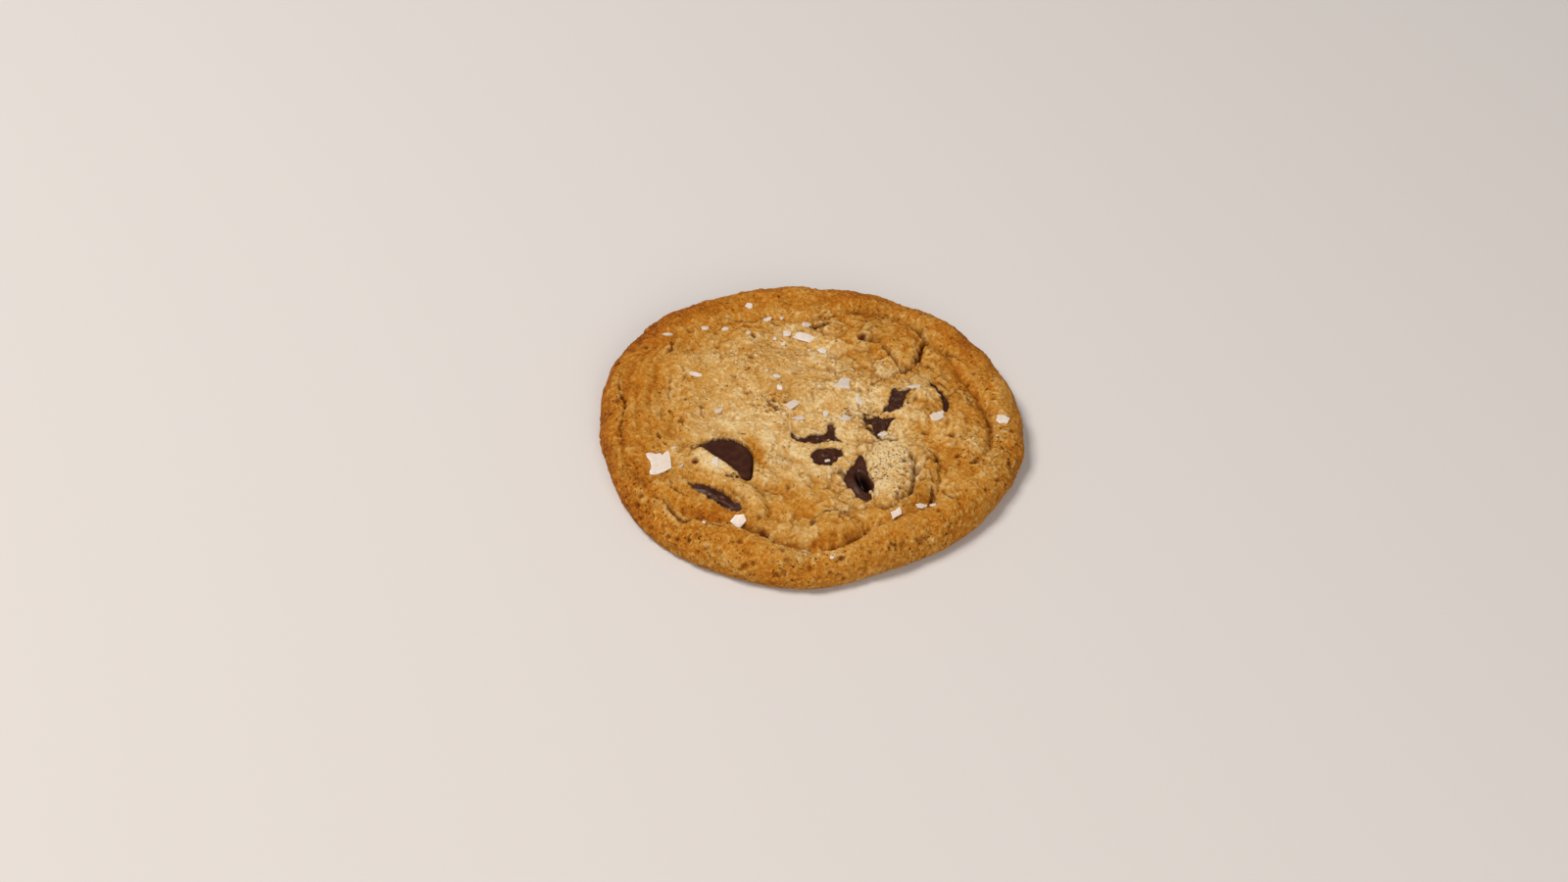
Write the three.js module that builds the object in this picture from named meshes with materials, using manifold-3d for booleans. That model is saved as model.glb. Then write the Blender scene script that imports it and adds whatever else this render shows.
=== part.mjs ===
// A chocolate chip cookie, baked flat on a tray: one piece of dough with a raised, browned rim, and
// eight pieces of chocolate that show at its top. Millimetres, +Z up, the origin under its middle.
import * as THREE from "three";
import { mergeVertices } from "three/addons/utils/BufferGeometryUtils.js";
import Module from "manifold-3d";

const wasm = await Module();
wasm.setup();

// Radii are measured from the middle, anticlockwise from +X, at equal angles all the way round.
const EDGE_RADII = [
  52.1, 51.7, 51.6, 51.5, 51.4, 52.5, 53.9, 54.0, 51.7, 51.1, 52.2, 51.5, 51.4, 48.6, 49.3, 50.4,
];
const CREASE_RADII = [
  43.3, 40.0, 41.2, 42.0, 37.5, 40.3, 43.7, 48.2, 46.2, 46.8, 45.6, 40.5, 43.3, 39.0, 40.2, 43.5,
];

// The side: a short curl under the widest line, and a long round shoulder up to the rim's crest.
const BULGE_HEIGHT = 2.5;
const CURL = 1.5;
const SHOULDER = 6.5;
const RIM_HEIGHT = 8.6;

// The top inside the rim: a crease, a floor below the crest, and a low dome on that floor.
const CREASE_DEPTH = 1.0;
const CREASE_WIDTH = 1.8;
const FLOOR_DROP = 0.7;
const FLOOR_BLEND = 4.0;
const DOME_HEIGHT = 1.3;

// The mesh: steps from the top's middle to the foot, and the share of them that the side takes.
const STEPS = 35;
const SIDE_SHARE = 0.26;
const CURL_SHARE = 0.3;
const SPARE_DEPTH = 3;
const TINY = 1e-6;
const MERGE_DISTANCE = 1e-4;
const CHOCOLATE_SIDES = 18;
const GAP_SIDES = 16;

// Chocolate is set this far from the dough around it. What cuts its gap in the dough starts a
// little under its top and ends well above the dough.
const GAP = 0.35;
const CUT_BELOW = 1;
const CUT_ABOVE = 5;

// Everything under the tray's surface is cut away with a box this wide.
const OVEN_ROOM = 200;

const DOUGH_COLOUR = 0xc8924e;
const CHOCOLATE_COLOUR = 0x341d15;

// Low mounds of dough: place, half sizes, turn in degrees and height.
const MOUNDS = {
  chocolate_cluster: { x: 26, y: 3.4, long: 9.5, wide: 9, turn: 90, height: 1.8 },
  front_lump: { x: 18, y: -22.2, long: 11.5, wide: 6.5, turn: 95, height: 1.6 },
  front_fold: { x: 26, y: -20.6, long: 11, wide: 5.5, turn: 85, height: 1.0 },
  right_swelling: { x: 38.5, y: -5.6, long: 10, wide: 5.5, turn: 90, height: 1.0 },
  front_swelling: { x: 6, y: -36.1, long: 7, wide: 4.5, turn: 0, height: 0.7 },
  left_ridge: { x: -20, y: -26, long: 12, wide: 4, turn: -28, height: 0.9 },
  cracked_slab: { x: 20, y: 26.8, long: 9, wide: 7, turn: -40, height: 0.8 },
  middle_swelling: { x: -4, y: 12.4, long: 16, wide: 12, turn: -30, height: 0.6 },
};

// A piece of chocolate from its lowest point to its highest, as shares of its size.
const CHOCOLATE_PROFILE = [
  [0, -0.5], [0.55, -0.47], [0.85, -0.33], [1, 0], [0.9, 0.3], [0.6, 0.45], [0, 0.5],
];

// Pieces of chocolate: the middle of the gap in the dough that shows each one, the gap's half sizes
// and turn, how far its ends bend sideways, how deep the chocolate lies in it, and the piece's own
// half sizes and thickness.
const CHOCOLATES = {
  disc: { x: -20.6, y: -15.2, long: 7.2, wide: 5.0, turn: -38, bend: -1.6, sunk: 0.5,
    body: { x: -21.3, y: -16.6, long: 7.3, wide: 7.0, thick: 4.2 } },
  left_slit: { x: -22.4, y: -28.5, long: 7.4, wide: 1.2, turn: -35, bend: -0.7, sunk: 0.8,
    body: { long: 7.0, wide: 2.4, thick: 4.4 } },
  middle_sliver: { x: 1.0, y: -8.5, long: 6.2, wide: 1.7, turn: -4, bend: 0.9, sunk: 0.5,
    body: { long: 6.0, wide: 2.6, thick: 4.0 } },
  middle_oval: { x: 4.3, y: -15.4, long: 3.7, wide: 3.0, turn: 24, bend: 0, sunk: 0.5,
    body: { long: 4.2, wide: 3.6, thick: 4.0 } },
  front_crescent: { x: 11.2, y: -21.6, long: 7.0, wide: 2.4, turn: -84, bend: 2.2, sunk: 0.9,
    body: { long: 6.6, wide: 3.6, thick: 4.4 } },
  cluster_left: { x: 20.6, y: 5, long: 3.9, wide: 2.0, turn: 60, bend: 0, sunk: 0.6,
    body: { long: 4.4, wide: 3.4, thick: 4.0 } },
  cluster_right: { x: 31.3, y: 7.8, long: 5.8, wide: 0.9, turn: -74, bend: -1.2, sunk: 0.8,
    body: { long: 5.6, wide: 1.9, thick: 4.0 } },
  cluster_front: { x: 16.3, y: -4.8, long: 3.1, wide: 2.1, turn: -25, bend: 0, sunk: 0.6,
    body: { long: 3.8, wide: 3.2, thick: 4.0 } },
};

/** A smooth closed curve through radii at equal angles, read at any angle in radians. */
function radiusAt(radii, angle) {
  const count = radii.length;
  const place = (((angle / (2 * Math.PI)) % 1) + 1) * count;
  const first = Math.floor(place);
  const t = place - first;
  const [a, b, c, d] = [-1, 0, 1, 2].map((step) => radii[(first + step + count) % count]);
  return b + 0.5 * t * (c - a + t * (2 * a - 5 * b + 4 * c - d + t * (3 * (b - c) + d - a)));
}

/** Turns a point into a mound's or a gap's own long and wide directions. */
function ownPlace({ x, y, turn }, px, py) {
  const angle = THREE.MathUtils.degToRad(turn);
  const [dx, dy] = [px - x, py - y];
  return [dx * Math.cos(angle) + dy * Math.sin(angle), dy * Math.cos(angle) - dx * Math.sin(angle)];
}

/** How high a mound stands at a point: a round hump that fades out at its half sizes. */
function moundHeight(mound, x, y) {
  const [along, across] = ownPlace(mound, x, y);
  const share = (along / mound.long) ** 2 + (across / mound.wide) ** 2;
  return share < 1 ? mound.height * (1 - share) ** 1.5 : 0;
}

/** The height of the top at a point inside the rim's crest. */
function topHeight(x, y) {
  const crease = radiusAt(CREASE_RADII, Math.atan2(y, x));
  const inside = crease - Math.hypot(x, y);
  const groove = CREASE_DEPTH * Math.exp(-((inside / CREASE_WIDTH) ** 2));
  const floor = FLOOR_DROP * THREE.MathUtils.smoothstep(inside, 0, FLOOR_BLEND);
  const dome = DOME_HEIGHT * Math.max(0, 1 - (Math.hypot(x, y) / crease) ** 2);
  const mounds = Object.values(MOUNDS).reduce((sum, mound) => sum + moundHeight(mound, x, y), 0);
  return RIM_HEIGHT - groove - floor + dome + mounds;
}

/** A point of the dough's top or side: share 0 is the middle of the top and 1 is the foot. */
function skinPoint(share, angle, point) {
  const edge = radiusAt(EDGE_RADII, angle);
  const crest = 1 - SIDE_SHARE;
  if (share <= crest) {
    const radius = (edge - SHOULDER) * (share / crest);
    const [x, y] = [radius * Math.cos(angle), radius * Math.sin(angle)];
    return point.set(x, y, topHeight(x, y));
  }
  const down = (share - crest) / SIDE_SHARE;
  const onCurl = down > 1 - CURL_SHARE;
  const turn = onCurl ? (down - 1 + CURL_SHARE) / CURL_SHARE : 1 - down / (1 - CURL_SHARE);
  const depth = onCurl ? CURL : SHOULDER;
  const radius = edge - depth * (1 - Math.cos((turn * Math.PI) / 2));
  const crestHeight = topHeight((edge - SHOULDER) * Math.cos(angle), (edge - SHOULDER) * Math.sin(angle));
  const reach = onCurl ? -BULGE_HEIGHT : crestHeight - BULGE_HEIGHT;
  const height = BULGE_HEIGHT + reach * Math.sin((turn * Math.PI) / 2);
  return point.set(radius * Math.cos(angle), radius * Math.sin(angle), height);
}

/** The dough with no gaps in it: an octahedron whose upper half becomes the skin. Its lower half
 * hangs under the foot and is cut away later, which leaves the underside flat. */
function doughGeometry() {
  const geometry = new THREE.OctahedronGeometry(1, STEPS - 1);
  const position = geometry.getAttribute("position");
  const point = new THREE.Vector3();
  for (let i = 0; i < position.count; i++) {
    point.fromBufferAttribute(position, i);
    const [x, y, z] = point.toArray();
    const flat = Math.abs(x) + Math.abs(y);
    const share = flat / (flat + Math.abs(z));
    const quarter = flat > 0 ? Math.abs(y) / flat : 0;
    const angle = Math.atan2(Math.sign(y) * Math.sin((quarter * Math.PI) / 2),
      (x < 0 ? -1 : 1) * Math.cos((quarter * Math.PI) / 2));
    if (z >= -TINY) {
      skinPoint(share, angle, point);
    } else {
      const foot = (radiusAt(EDGE_RADII, angle) - CURL) * share;
      point.set(foot * Math.cos(angle), foot * Math.sin(angle), SPARE_DEPTH * (share - 1));
    }
    position.setXYZ(i, point.x, point.y, point.z);
  }
  return geometry;
}

/** The gap in the dough over a piece of chocolate: a lens with its ends bent sideways. */
function gapGeometry(gap, low, high) {
  const corners = Array.from({ length: GAP_SIDES }, (_, i) => {
    const angle = (i / GAP_SIDES) * 2 * Math.PI;
    const along = Math.cos(angle);
    return new THREE.Vector2(gap.long * along, gap.wide * Math.sin(angle) + gap.bend * along ** 2);
  });
  return new THREE.ExtrudeGeometry(new THREE.Shape(corners), { depth: high - low, bevelEnabled: false })
    .translate(0, -gap.bend / 2, 0)
    .rotateZ(THREE.MathUtils.degToRad(gap.turn))
    .translate(gap.x, gap.y, low);
}

/** A piece of chocolate: a disc with a nearly flat top and a round edge, grown by a margin. */
function chocolateGeometry(piece, margin) {
  const { x = piece.x, y = piece.y, long, wide, thick } = piece.body;
  const top = topHeight(piece.x, piece.y) - piece.sunk;
  const profile = CHOCOLATE_PROFILE.map(([radius, height]) => new THREE.Vector2(radius, height));
  return new THREE.LatheGeometry(profile, CHOCOLATE_SIDES)
    .rotateX(Math.PI / 2)
    .scale(long + margin, wide + margin, thick + 2 * margin)
    .rotateZ(THREE.MathUtils.degToRad(piece.turn))
    .translate(x, y, top - thick / 2);
}

/** A three.js geometry as a solid. */
function solidOf(geometry) {
  const bare = geometry.clone();
  bare.deleteAttribute("normal");
  bare.deleteAttribute("uv");
  const merged = mergeVertices(bare, MERGE_DISTANCE);
  const { array: vertProperties } = merged.getAttribute("position");
  const triVerts = new Uint32Array(merged.index.array);
  return new wasm.Manifold(new wasm.Mesh({ numProp: 3, vertProperties, triVerts }));
}

/** A solid as a named mesh. */
function meshOf(solid, name, material) {
  const { vertProperties, triVerts } = solid.getMesh();
  const geometry = new THREE.BufferGeometry()
    .setAttribute("position", new THREE.BufferAttribute(vertProperties, 3))
    .setIndex(new THREE.BufferAttribute(triVerts, 1));
  geometry.computeVertexNormals();
  const mesh = new THREE.Mesh(geometry, material);
  mesh.name = name;
  return mesh;
}

const baked = new THREE.MeshStandardMaterial({ color: DOUGH_COLOUR, roughness: 0.85, metalness: 0 });
const chocolate = new THREE.MeshStandardMaterial({ color: CHOCOLATE_COLOUR, roughness: 0.4, metalness: 0 });

const cookie = new THREE.Group();
const aboveTray = new THREE.BoxGeometry(OVEN_ROOM, OVEN_ROOM, OVEN_ROOM).translate(0, 0, OVEN_ROOM / 2);
let dough = solidOf(doughGeometry()).intersect(solidOf(aboveTray));
for (const [name, piece] of Object.entries(CHOCOLATES)) {
  const surface = topHeight(piece.x, piece.y);
  dough = dough
    .subtract(solidOf(gapGeometry(piece, surface - piece.sunk - CUT_BELOW, surface + CUT_ABOVE)))
    .subtract(solidOf(chocolateGeometry(piece, GAP)));
  cookie.add(meshOf(solidOf(chocolateGeometry(piece, 0)), `chocolate_${name}`, chocolate));
}
cookie.add(meshOf(dough, "dough", baked));

// The origin goes under the middle of the whole.
const middle = new THREE.Box3().setFromObject(cookie).getCenter(new THREE.Vector3());
cookie.position.set(-middle.x, -middle.y, 0);

export default cookie;
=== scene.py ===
"""The looks of a large chocolate chip cookie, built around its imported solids.

The dough's solid is replaced by a fine skin with the wrinkles, cracks and pores of a baked top, and
each piece of chocolate by one with a melted or broken face. Flakes of salt lie on the dough. All the
sizes here are in millimetres, and are turned to metres when a mesh is made.
"""

import logging
import math
import random
from dataclasses import dataclass, fields
from enum import Enum
from typing import Any, Iterable, Sequence

import bmesh
import bpy
import numpy as np
from mathutils import Matrix, Vector, kdtree, noise
from mathutils.bvhtree import BVHTree

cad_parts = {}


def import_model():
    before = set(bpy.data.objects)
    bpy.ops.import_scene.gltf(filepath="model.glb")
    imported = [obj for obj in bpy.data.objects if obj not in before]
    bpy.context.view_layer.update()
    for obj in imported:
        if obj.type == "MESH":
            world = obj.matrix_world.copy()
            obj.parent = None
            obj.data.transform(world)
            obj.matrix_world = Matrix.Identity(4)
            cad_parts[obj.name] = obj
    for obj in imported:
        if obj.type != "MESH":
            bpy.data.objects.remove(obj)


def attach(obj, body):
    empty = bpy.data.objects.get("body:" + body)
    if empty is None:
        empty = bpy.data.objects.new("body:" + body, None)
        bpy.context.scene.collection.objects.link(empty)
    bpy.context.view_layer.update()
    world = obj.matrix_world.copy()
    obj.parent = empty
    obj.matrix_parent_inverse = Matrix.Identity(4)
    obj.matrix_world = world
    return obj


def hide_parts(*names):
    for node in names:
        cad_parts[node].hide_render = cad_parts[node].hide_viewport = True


LOG = logging.getLogger("cookie")
MM = 0.001
BODY = "root"
MAP = "OFBake"
TONES = ("browning_light_and_shade", "speckled", "shade_and_burn", "cocoa")
FACE_SEED = 40
Place = tuple[float, float]


# ---------------------------------------------------------------------------------------------
# Numbers and curves
# ---------------------------------------------------------------------------------------------


def smooth(low: float, high: float, value: np.ndarray) -> np.ndarray:
    """A soft step: 0 at and below low, 1 at and above high."""
    share = np.clip((value - low) / (high - low), 0.0, 1.0)
    return share * share * (3.0 - 2.0 * share)


def bell(value: np.ndarray) -> np.ndarray:
    """A round bump: 1 at 0, and close to 0 from 2 on."""
    return np.exp(-value * value)


def ripple(points: np.ndarray, size: float, octaves: int, seed: int) -> np.ndarray:
    """Cloud-like noise at each point.

    Args:
        points: one row of x, y and z for each point, in mm.
        size: the width of the largest bumps, in mm.
        octaves: how many finer layers are added, each half the size of the one before.
        seed: a number that picks the pattern.

    Returns:
        One value for each point, mostly between -1 and 1.
    """
    placed = points / size + np.array([7.3, 3.1, 5.7]) * (seed + 1)
    return 1.6 * np.array([noise.fractal(p, 1.0, 2.0, octaves) for p in placed.tolist()])


@dataclass(frozen=True)
class Clouds:
    """A layer of cloud-like noise: how much it counts, its widest bumps in mm, its octaves, its seed."""

    amount: float
    size: float
    octaves: int
    seed: int

    def at(self, points: np.ndarray) -> np.ndarray:
        """The layer's value at each point, given one row of x, y and z in mm for each."""
        return self.amount * ripple(points, self.size, self.octaves, self.seed)


def layered(layers: Iterable[Clouds], points: np.ndarray) -> np.ndarray:
    """The layers' values at each point, added up."""
    return sum(layer.at(points) for layer in layers)


def distance_to_line(
    x: np.ndarray, y: np.ndarray, line: Sequence[Place]
) -> tuple[np.ndarray, np.ndarray]:
    """The distance from each point to a line of straight stretches.

    Args:
        x: the points' x, in mm.
        y: the points' y, in mm.
        line: the line's corners.

    Returns:
        The distances, and how far along the line the nearest spot is, from 0 to 1.
    """
    corners = np.array(line, float)
    steps = np.hypot(*np.diff(corners, axis=0).T)
    starts = np.concatenate([[0.0], np.cumsum(steps)])
    best = np.full(x.shape, np.inf)
    along = np.zeros(x.shape)
    for (ax, ay), (bx, by), step, start in zip(corners[:-1], corners[1:], steps, starts[:-1]):
        share = np.clip(((x - ax) * (bx - ax) + (y - ay) * (by - ay)) / step**2, 0.0, 1.0)
        away = np.hypot(x - ax - share * (bx - ax), y - ay - share * (by - ay))
        nearer = away < best
        best = np.where(nearer, away, best)
        along = np.where(nearer, (start + share * step) / starts[-1], along)
    return best, along


def depth_inside(x: np.ndarray, y: np.ndarray, outline: Sequence[Place]) -> np.ndarray:
    """How deep each point lies inside a closed outline.

    Args:
        x: the points' x, in mm.
        y: the points' y, in mm.
        outline: the outline's corners, in order.

    Returns:
        The distance to the outline, which is negative outside it.
    """
    closed = [*outline, outline[0]]
    away, _ = distance_to_line(x, y, closed)
    inside = np.zeros(x.shape, bool)
    for (ax, ay), (bx, by) in zip(closed[:-1], closed[1:]):
        if ay != by:
            crosses = ((ay > y) != (by > y)) & (x < (bx - ax) * (y - ay) / (by - ay) + ax)
            inside ^= crosses
    return np.where(inside, away, -away)


def rounded(outline: Sequence[Place], steps: int = 4) -> list[Place]:
    """A smooth closed curve through an outline's corners.

    Args:
        outline: the corners, in order.
        steps: how many points the curve has for each corner.

    Returns:
        The curve's points.
    """
    corners = np.array(outline, float)
    before, after, later = (np.roll(corners, shift, axis=0) for shift in (1, -1, -2))
    curve = []
    for t in np.arange(steps) / steps:
        curve.append(
            corners
            + 0.5 * t * (after - before + t * (2 * before - 5 * corners + 4 * after - later))
            + 0.5 * t**3 * (3 * (corners - after) + later - before)
        )
    return [tuple(point) for point in np.stack(curve, axis=1).reshape(-1, 2).tolist()]


# ---------------------------------------------------------------------------------------------
# The form of the dough
# ---------------------------------------------------------------------------------------------


@dataclass(frozen=True)
class RoundLine:
    """A closed line round the middle, given by its radii at equal angles from +X, anticlockwise."""

    radii: tuple[float, ...]

    def at(self, angle: np.ndarray) -> np.ndarray:
        """The radius at each angle in radians, on a smooth curve through the given ones."""
        radii = np.array(self.radii)
        place = (angle / math.tau) % 1.0 * len(radii)
        first = np.floor(place).astype(int)
        t = place - first
        a, b, c, d = (radii[(first + step) % len(radii)] for step in (-1, 0, 1, 2))
        return b + 0.5 * t * (c - a + t * (2 * a - 5 * b + 4 * c - d + t * (3 * (b - c) + d - a)))


@dataclass(frozen=True)
class Patch:
    """A soft oval area of the top, such as a hump of dough or a browner spot."""

    x: float
    y: float
    long: float
    wide: float
    turn: float
    most: float

    def at(self, x: np.ndarray, y: np.ndarray) -> np.ndarray:
        """The patch's value at each point: the most in its middle, and 0 outside it."""
        cos, sin = math.cos(math.radians(self.turn)), math.sin(math.radians(self.turn))
        along = ((x - self.x) * cos + (y - self.y) * sin) / self.long
        across = ((y - self.y) * cos - (x - self.x) * sin) / self.wide
        return self.most * np.clip(1.0 - along**2 - across**2, 0.0, 1.0) ** 1.5


@dataclass(frozen=True)
class Slab:
    """A piece of dough that stands out of the rest, with a round edge and a crease at its foot."""

    outline: tuple[Place, ...]
    height: float
    edge: float

    def lift(self, x: np.ndarray, y: np.ndarray) -> np.ndarray:
        """How far the slab raises each point, in mm."""
        deep = depth_inside(x, y, rounded(self.outline))
        rise = 1.0 - np.exp(-np.clip(deep, 0.0, None) / self.edge)
        crease = 0.22 * bell(deep / (0.45 * self.edge))
        return self.height * (rise - crease)


@dataclass(frozen=True)
class Crack:
    """A crack in the top, widest in its middle."""

    line: tuple[Place, ...]
    width: float
    depth: float


@dataclass(frozen=True)
class Pit:
    """A small dark hole or burnt spot in the dough."""

    x: float
    y: float
    size: float
    depth: float = 0.5


@dataclass(frozen=True)
class Plates:
    """The plates of a broken crust: small flats at slightly different heights, with gaps between.

    The step is the most that a plate stands above or below the rest, and the tilt is the steepest
    slope of its face. The gaps have a depth and a width too. Sizes are in mm.
    """

    size: float
    step: float
    tilt: float
    gap: float
    gap_width: float
    seed: int

    def lay(self, spots: np.ndarray) -> tuple[np.ndarray, np.ndarray]:
        """Lays plates over a surface.

        Args:
            spots: one row for each point, with its two coordinates over the surface in mm.

        Returns:
            How far each point is raised, and how much of a gap there is at it, from 0 to 1.
        """
        cell = np.floor(spots / self.size).astype(int)
        low = cell.min(axis=0) - 1
        count = cell.max(axis=0) - low + 2
        draw = np.random.default_rng(self.seed)
        middles = (np.moveaxis(np.indices(count), 0, -1) + low + draw.random((*count, 2))) * self.size
        heights = draw.uniform(-self.step, self.step, count)
        slopes = draw.uniform(-self.tilt, self.tilt, (*count, 2))
        squares = []
        where = []
        for step in np.ndindex(3, 3):
            beside = cell - low + np.array(step) - 1
            where.append(beside)
            squares.append(((spots - middles[beside[:, 0], beside[:, 1]]) ** 2).sum(axis=1))
        order = np.argsort(np.stack(squares), axis=0)[:2]
        rows = np.arange(len(spots))
        near, next_near = (np.stack(where)[order[place], rows] for place in (0, 1))
        first, second = (middles[at[:, 0], at[:, 1]] for at in (near, next_near))
        square, next_square = (np.stack(squares)[order[place], rows] for place in (0, 1))
        apart = np.hypot(*(second - first).T) + 1e-6
        border = (next_square - square) / (2.0 * apart)
        own, other = (
            heights[at[:, 0], at[:, 1]] + ((spots - middle) * slopes[at[:, 0], at[:, 1]]).sum(axis=1)
            for at, middle in ((near, first), (next_near, second))
        )
        share = 0.5 + 0.5 * smooth(0.0, 1.3 * self.gap_width, border)
        gaps = bell(border / self.gap_width)
        return own * share + other * (1.0 - share), gaps


EDGE = RoundLine(
    (52.1, 51.7, 51.6, 51.5, 51.4, 52.5, 53.9, 54.0, 51.7, 51.1, 52.2, 51.5, 51.4, 48.6, 49.3, 50.4)
)
CREASE = RoundLine(
    (43.3, 40.0, 41.2, 42.0, 35.8, 38.3, 42.5, 48.3, 45.8, 47.6, 45.6, 40.6, 44.4, 40.0, 40.2, 43.6)
)


SWELLS = tuple(Patch(*row) for row in (
    (25.4, 4.6, 10.5, 10, 90, 2.1), (37, -3.5, 9, 6, 88, 0.6), (6, -37, 8, 4.4, 5, 1.2),
    (-19.5, -25.6, 12, 3.2, -31, 1.3), (-12, -31, 6, 4.5, -30, 0.5), (20, 26, 9, 7, -40, 0.7),
    (32, 21, 8, 5, -45, 0.6), (-4, 12, 17, 11, -20, 0.7), (-21, -15.5, 10, 9.5, -38, 0.5),
    (-41, 8, 13, 5, 80, 0.6), (-36, -27, 9, 4, 135, 0.5),
))

SLABS = (
    Slab(
        (
            (-20.5, -25.6), (-15.0, -26.0), (-11.6, -29.2), (-10.2, -32.4), (-10.1, -35.2),
            (-12.2, -37.2), (-15.0, -37.2), (-16.0, -34.6), (-15.6, -31.6), (-19.0, -28.0),
        ),
        height=1.3,
        edge=0.9,
    ),
    Slab(
        (
            (34.0, 9.5), (36.3, 11.6), (37.6, 9.6), (38.8, 6.2), (41.2, 4.2), (42.9, 1.5),
            (43.4, -3.0), (43.2, -8.5), (41.0, -13.5), (36.5, -13.0), (33.5, -7.0), (33.8, 2.0),
        ),
        height=0.7,
        edge=1.3,
    ),
    Slab(
        (
            (28.6, 26.6), (31.5, 26.4), (34.4, 23.8), (37.5, 20.2), (38.6, 16.6), (35.6, 13.0),
            (31.4, 14.4), (27.0, 19.2), (27.2, 23.8),
        ),
        height=0.7,
        edge=1.0,
    ),
    Slab(
        (
            (24.0, -11.4), (28.2, -12.4), (30.6, -15.4), (30.6, -20.0), (29.8, -25.2),
            (28.4, -29.4), (25.5, -32.2), (21.6, -31.6), (23.0, -28.6), (24.6, -23.4),
            (24.9, -18.0), (24.0, -13.6),
        ),
        height=1.2,
        edge=0.6,
    ),
    Slab(
        (
            (10.8, -11.8), (16.0, -10.4), (20.5, -10.9), (23.6, -13.8), (24.6, -18.0),
            (24.2, -23.0), (22.6, -27.4), (19.4, -31.0), (15.4, -31.0), (14.6, -26.5),
            (12.9, -20.5), (12.2, -16.0),
        ),
        height=1.5,
        edge=0.55,
    ),
    Slab(
        (
            (-28.9, -15.6), (-26.6, -13.5), (-24.3, -15.6), (-20.5, -18.8), (-17.2, -21.7),
            (-17.6, -23.2), (-20.8, -23.4), (-25.0, -22.2), (-28.4, -20.4), (-29.4, -18.0),
        ),
        height=0.9,
        edge=0.7,
    ),
    Slab(
        (
            (12.0, 27.5), (16.2, 26.3), (19.4, 22.3), (22.3, 16.0), (25.3, 19.3), (26.4, 23.0),
            (28.3, 27.6), (27.0, 30.2), (24.2, 34.4), (17.5, 35.6), (12.5, 33.0),
        ),
        height=1.4,
        edge=0.6,
    ),
)

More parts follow.
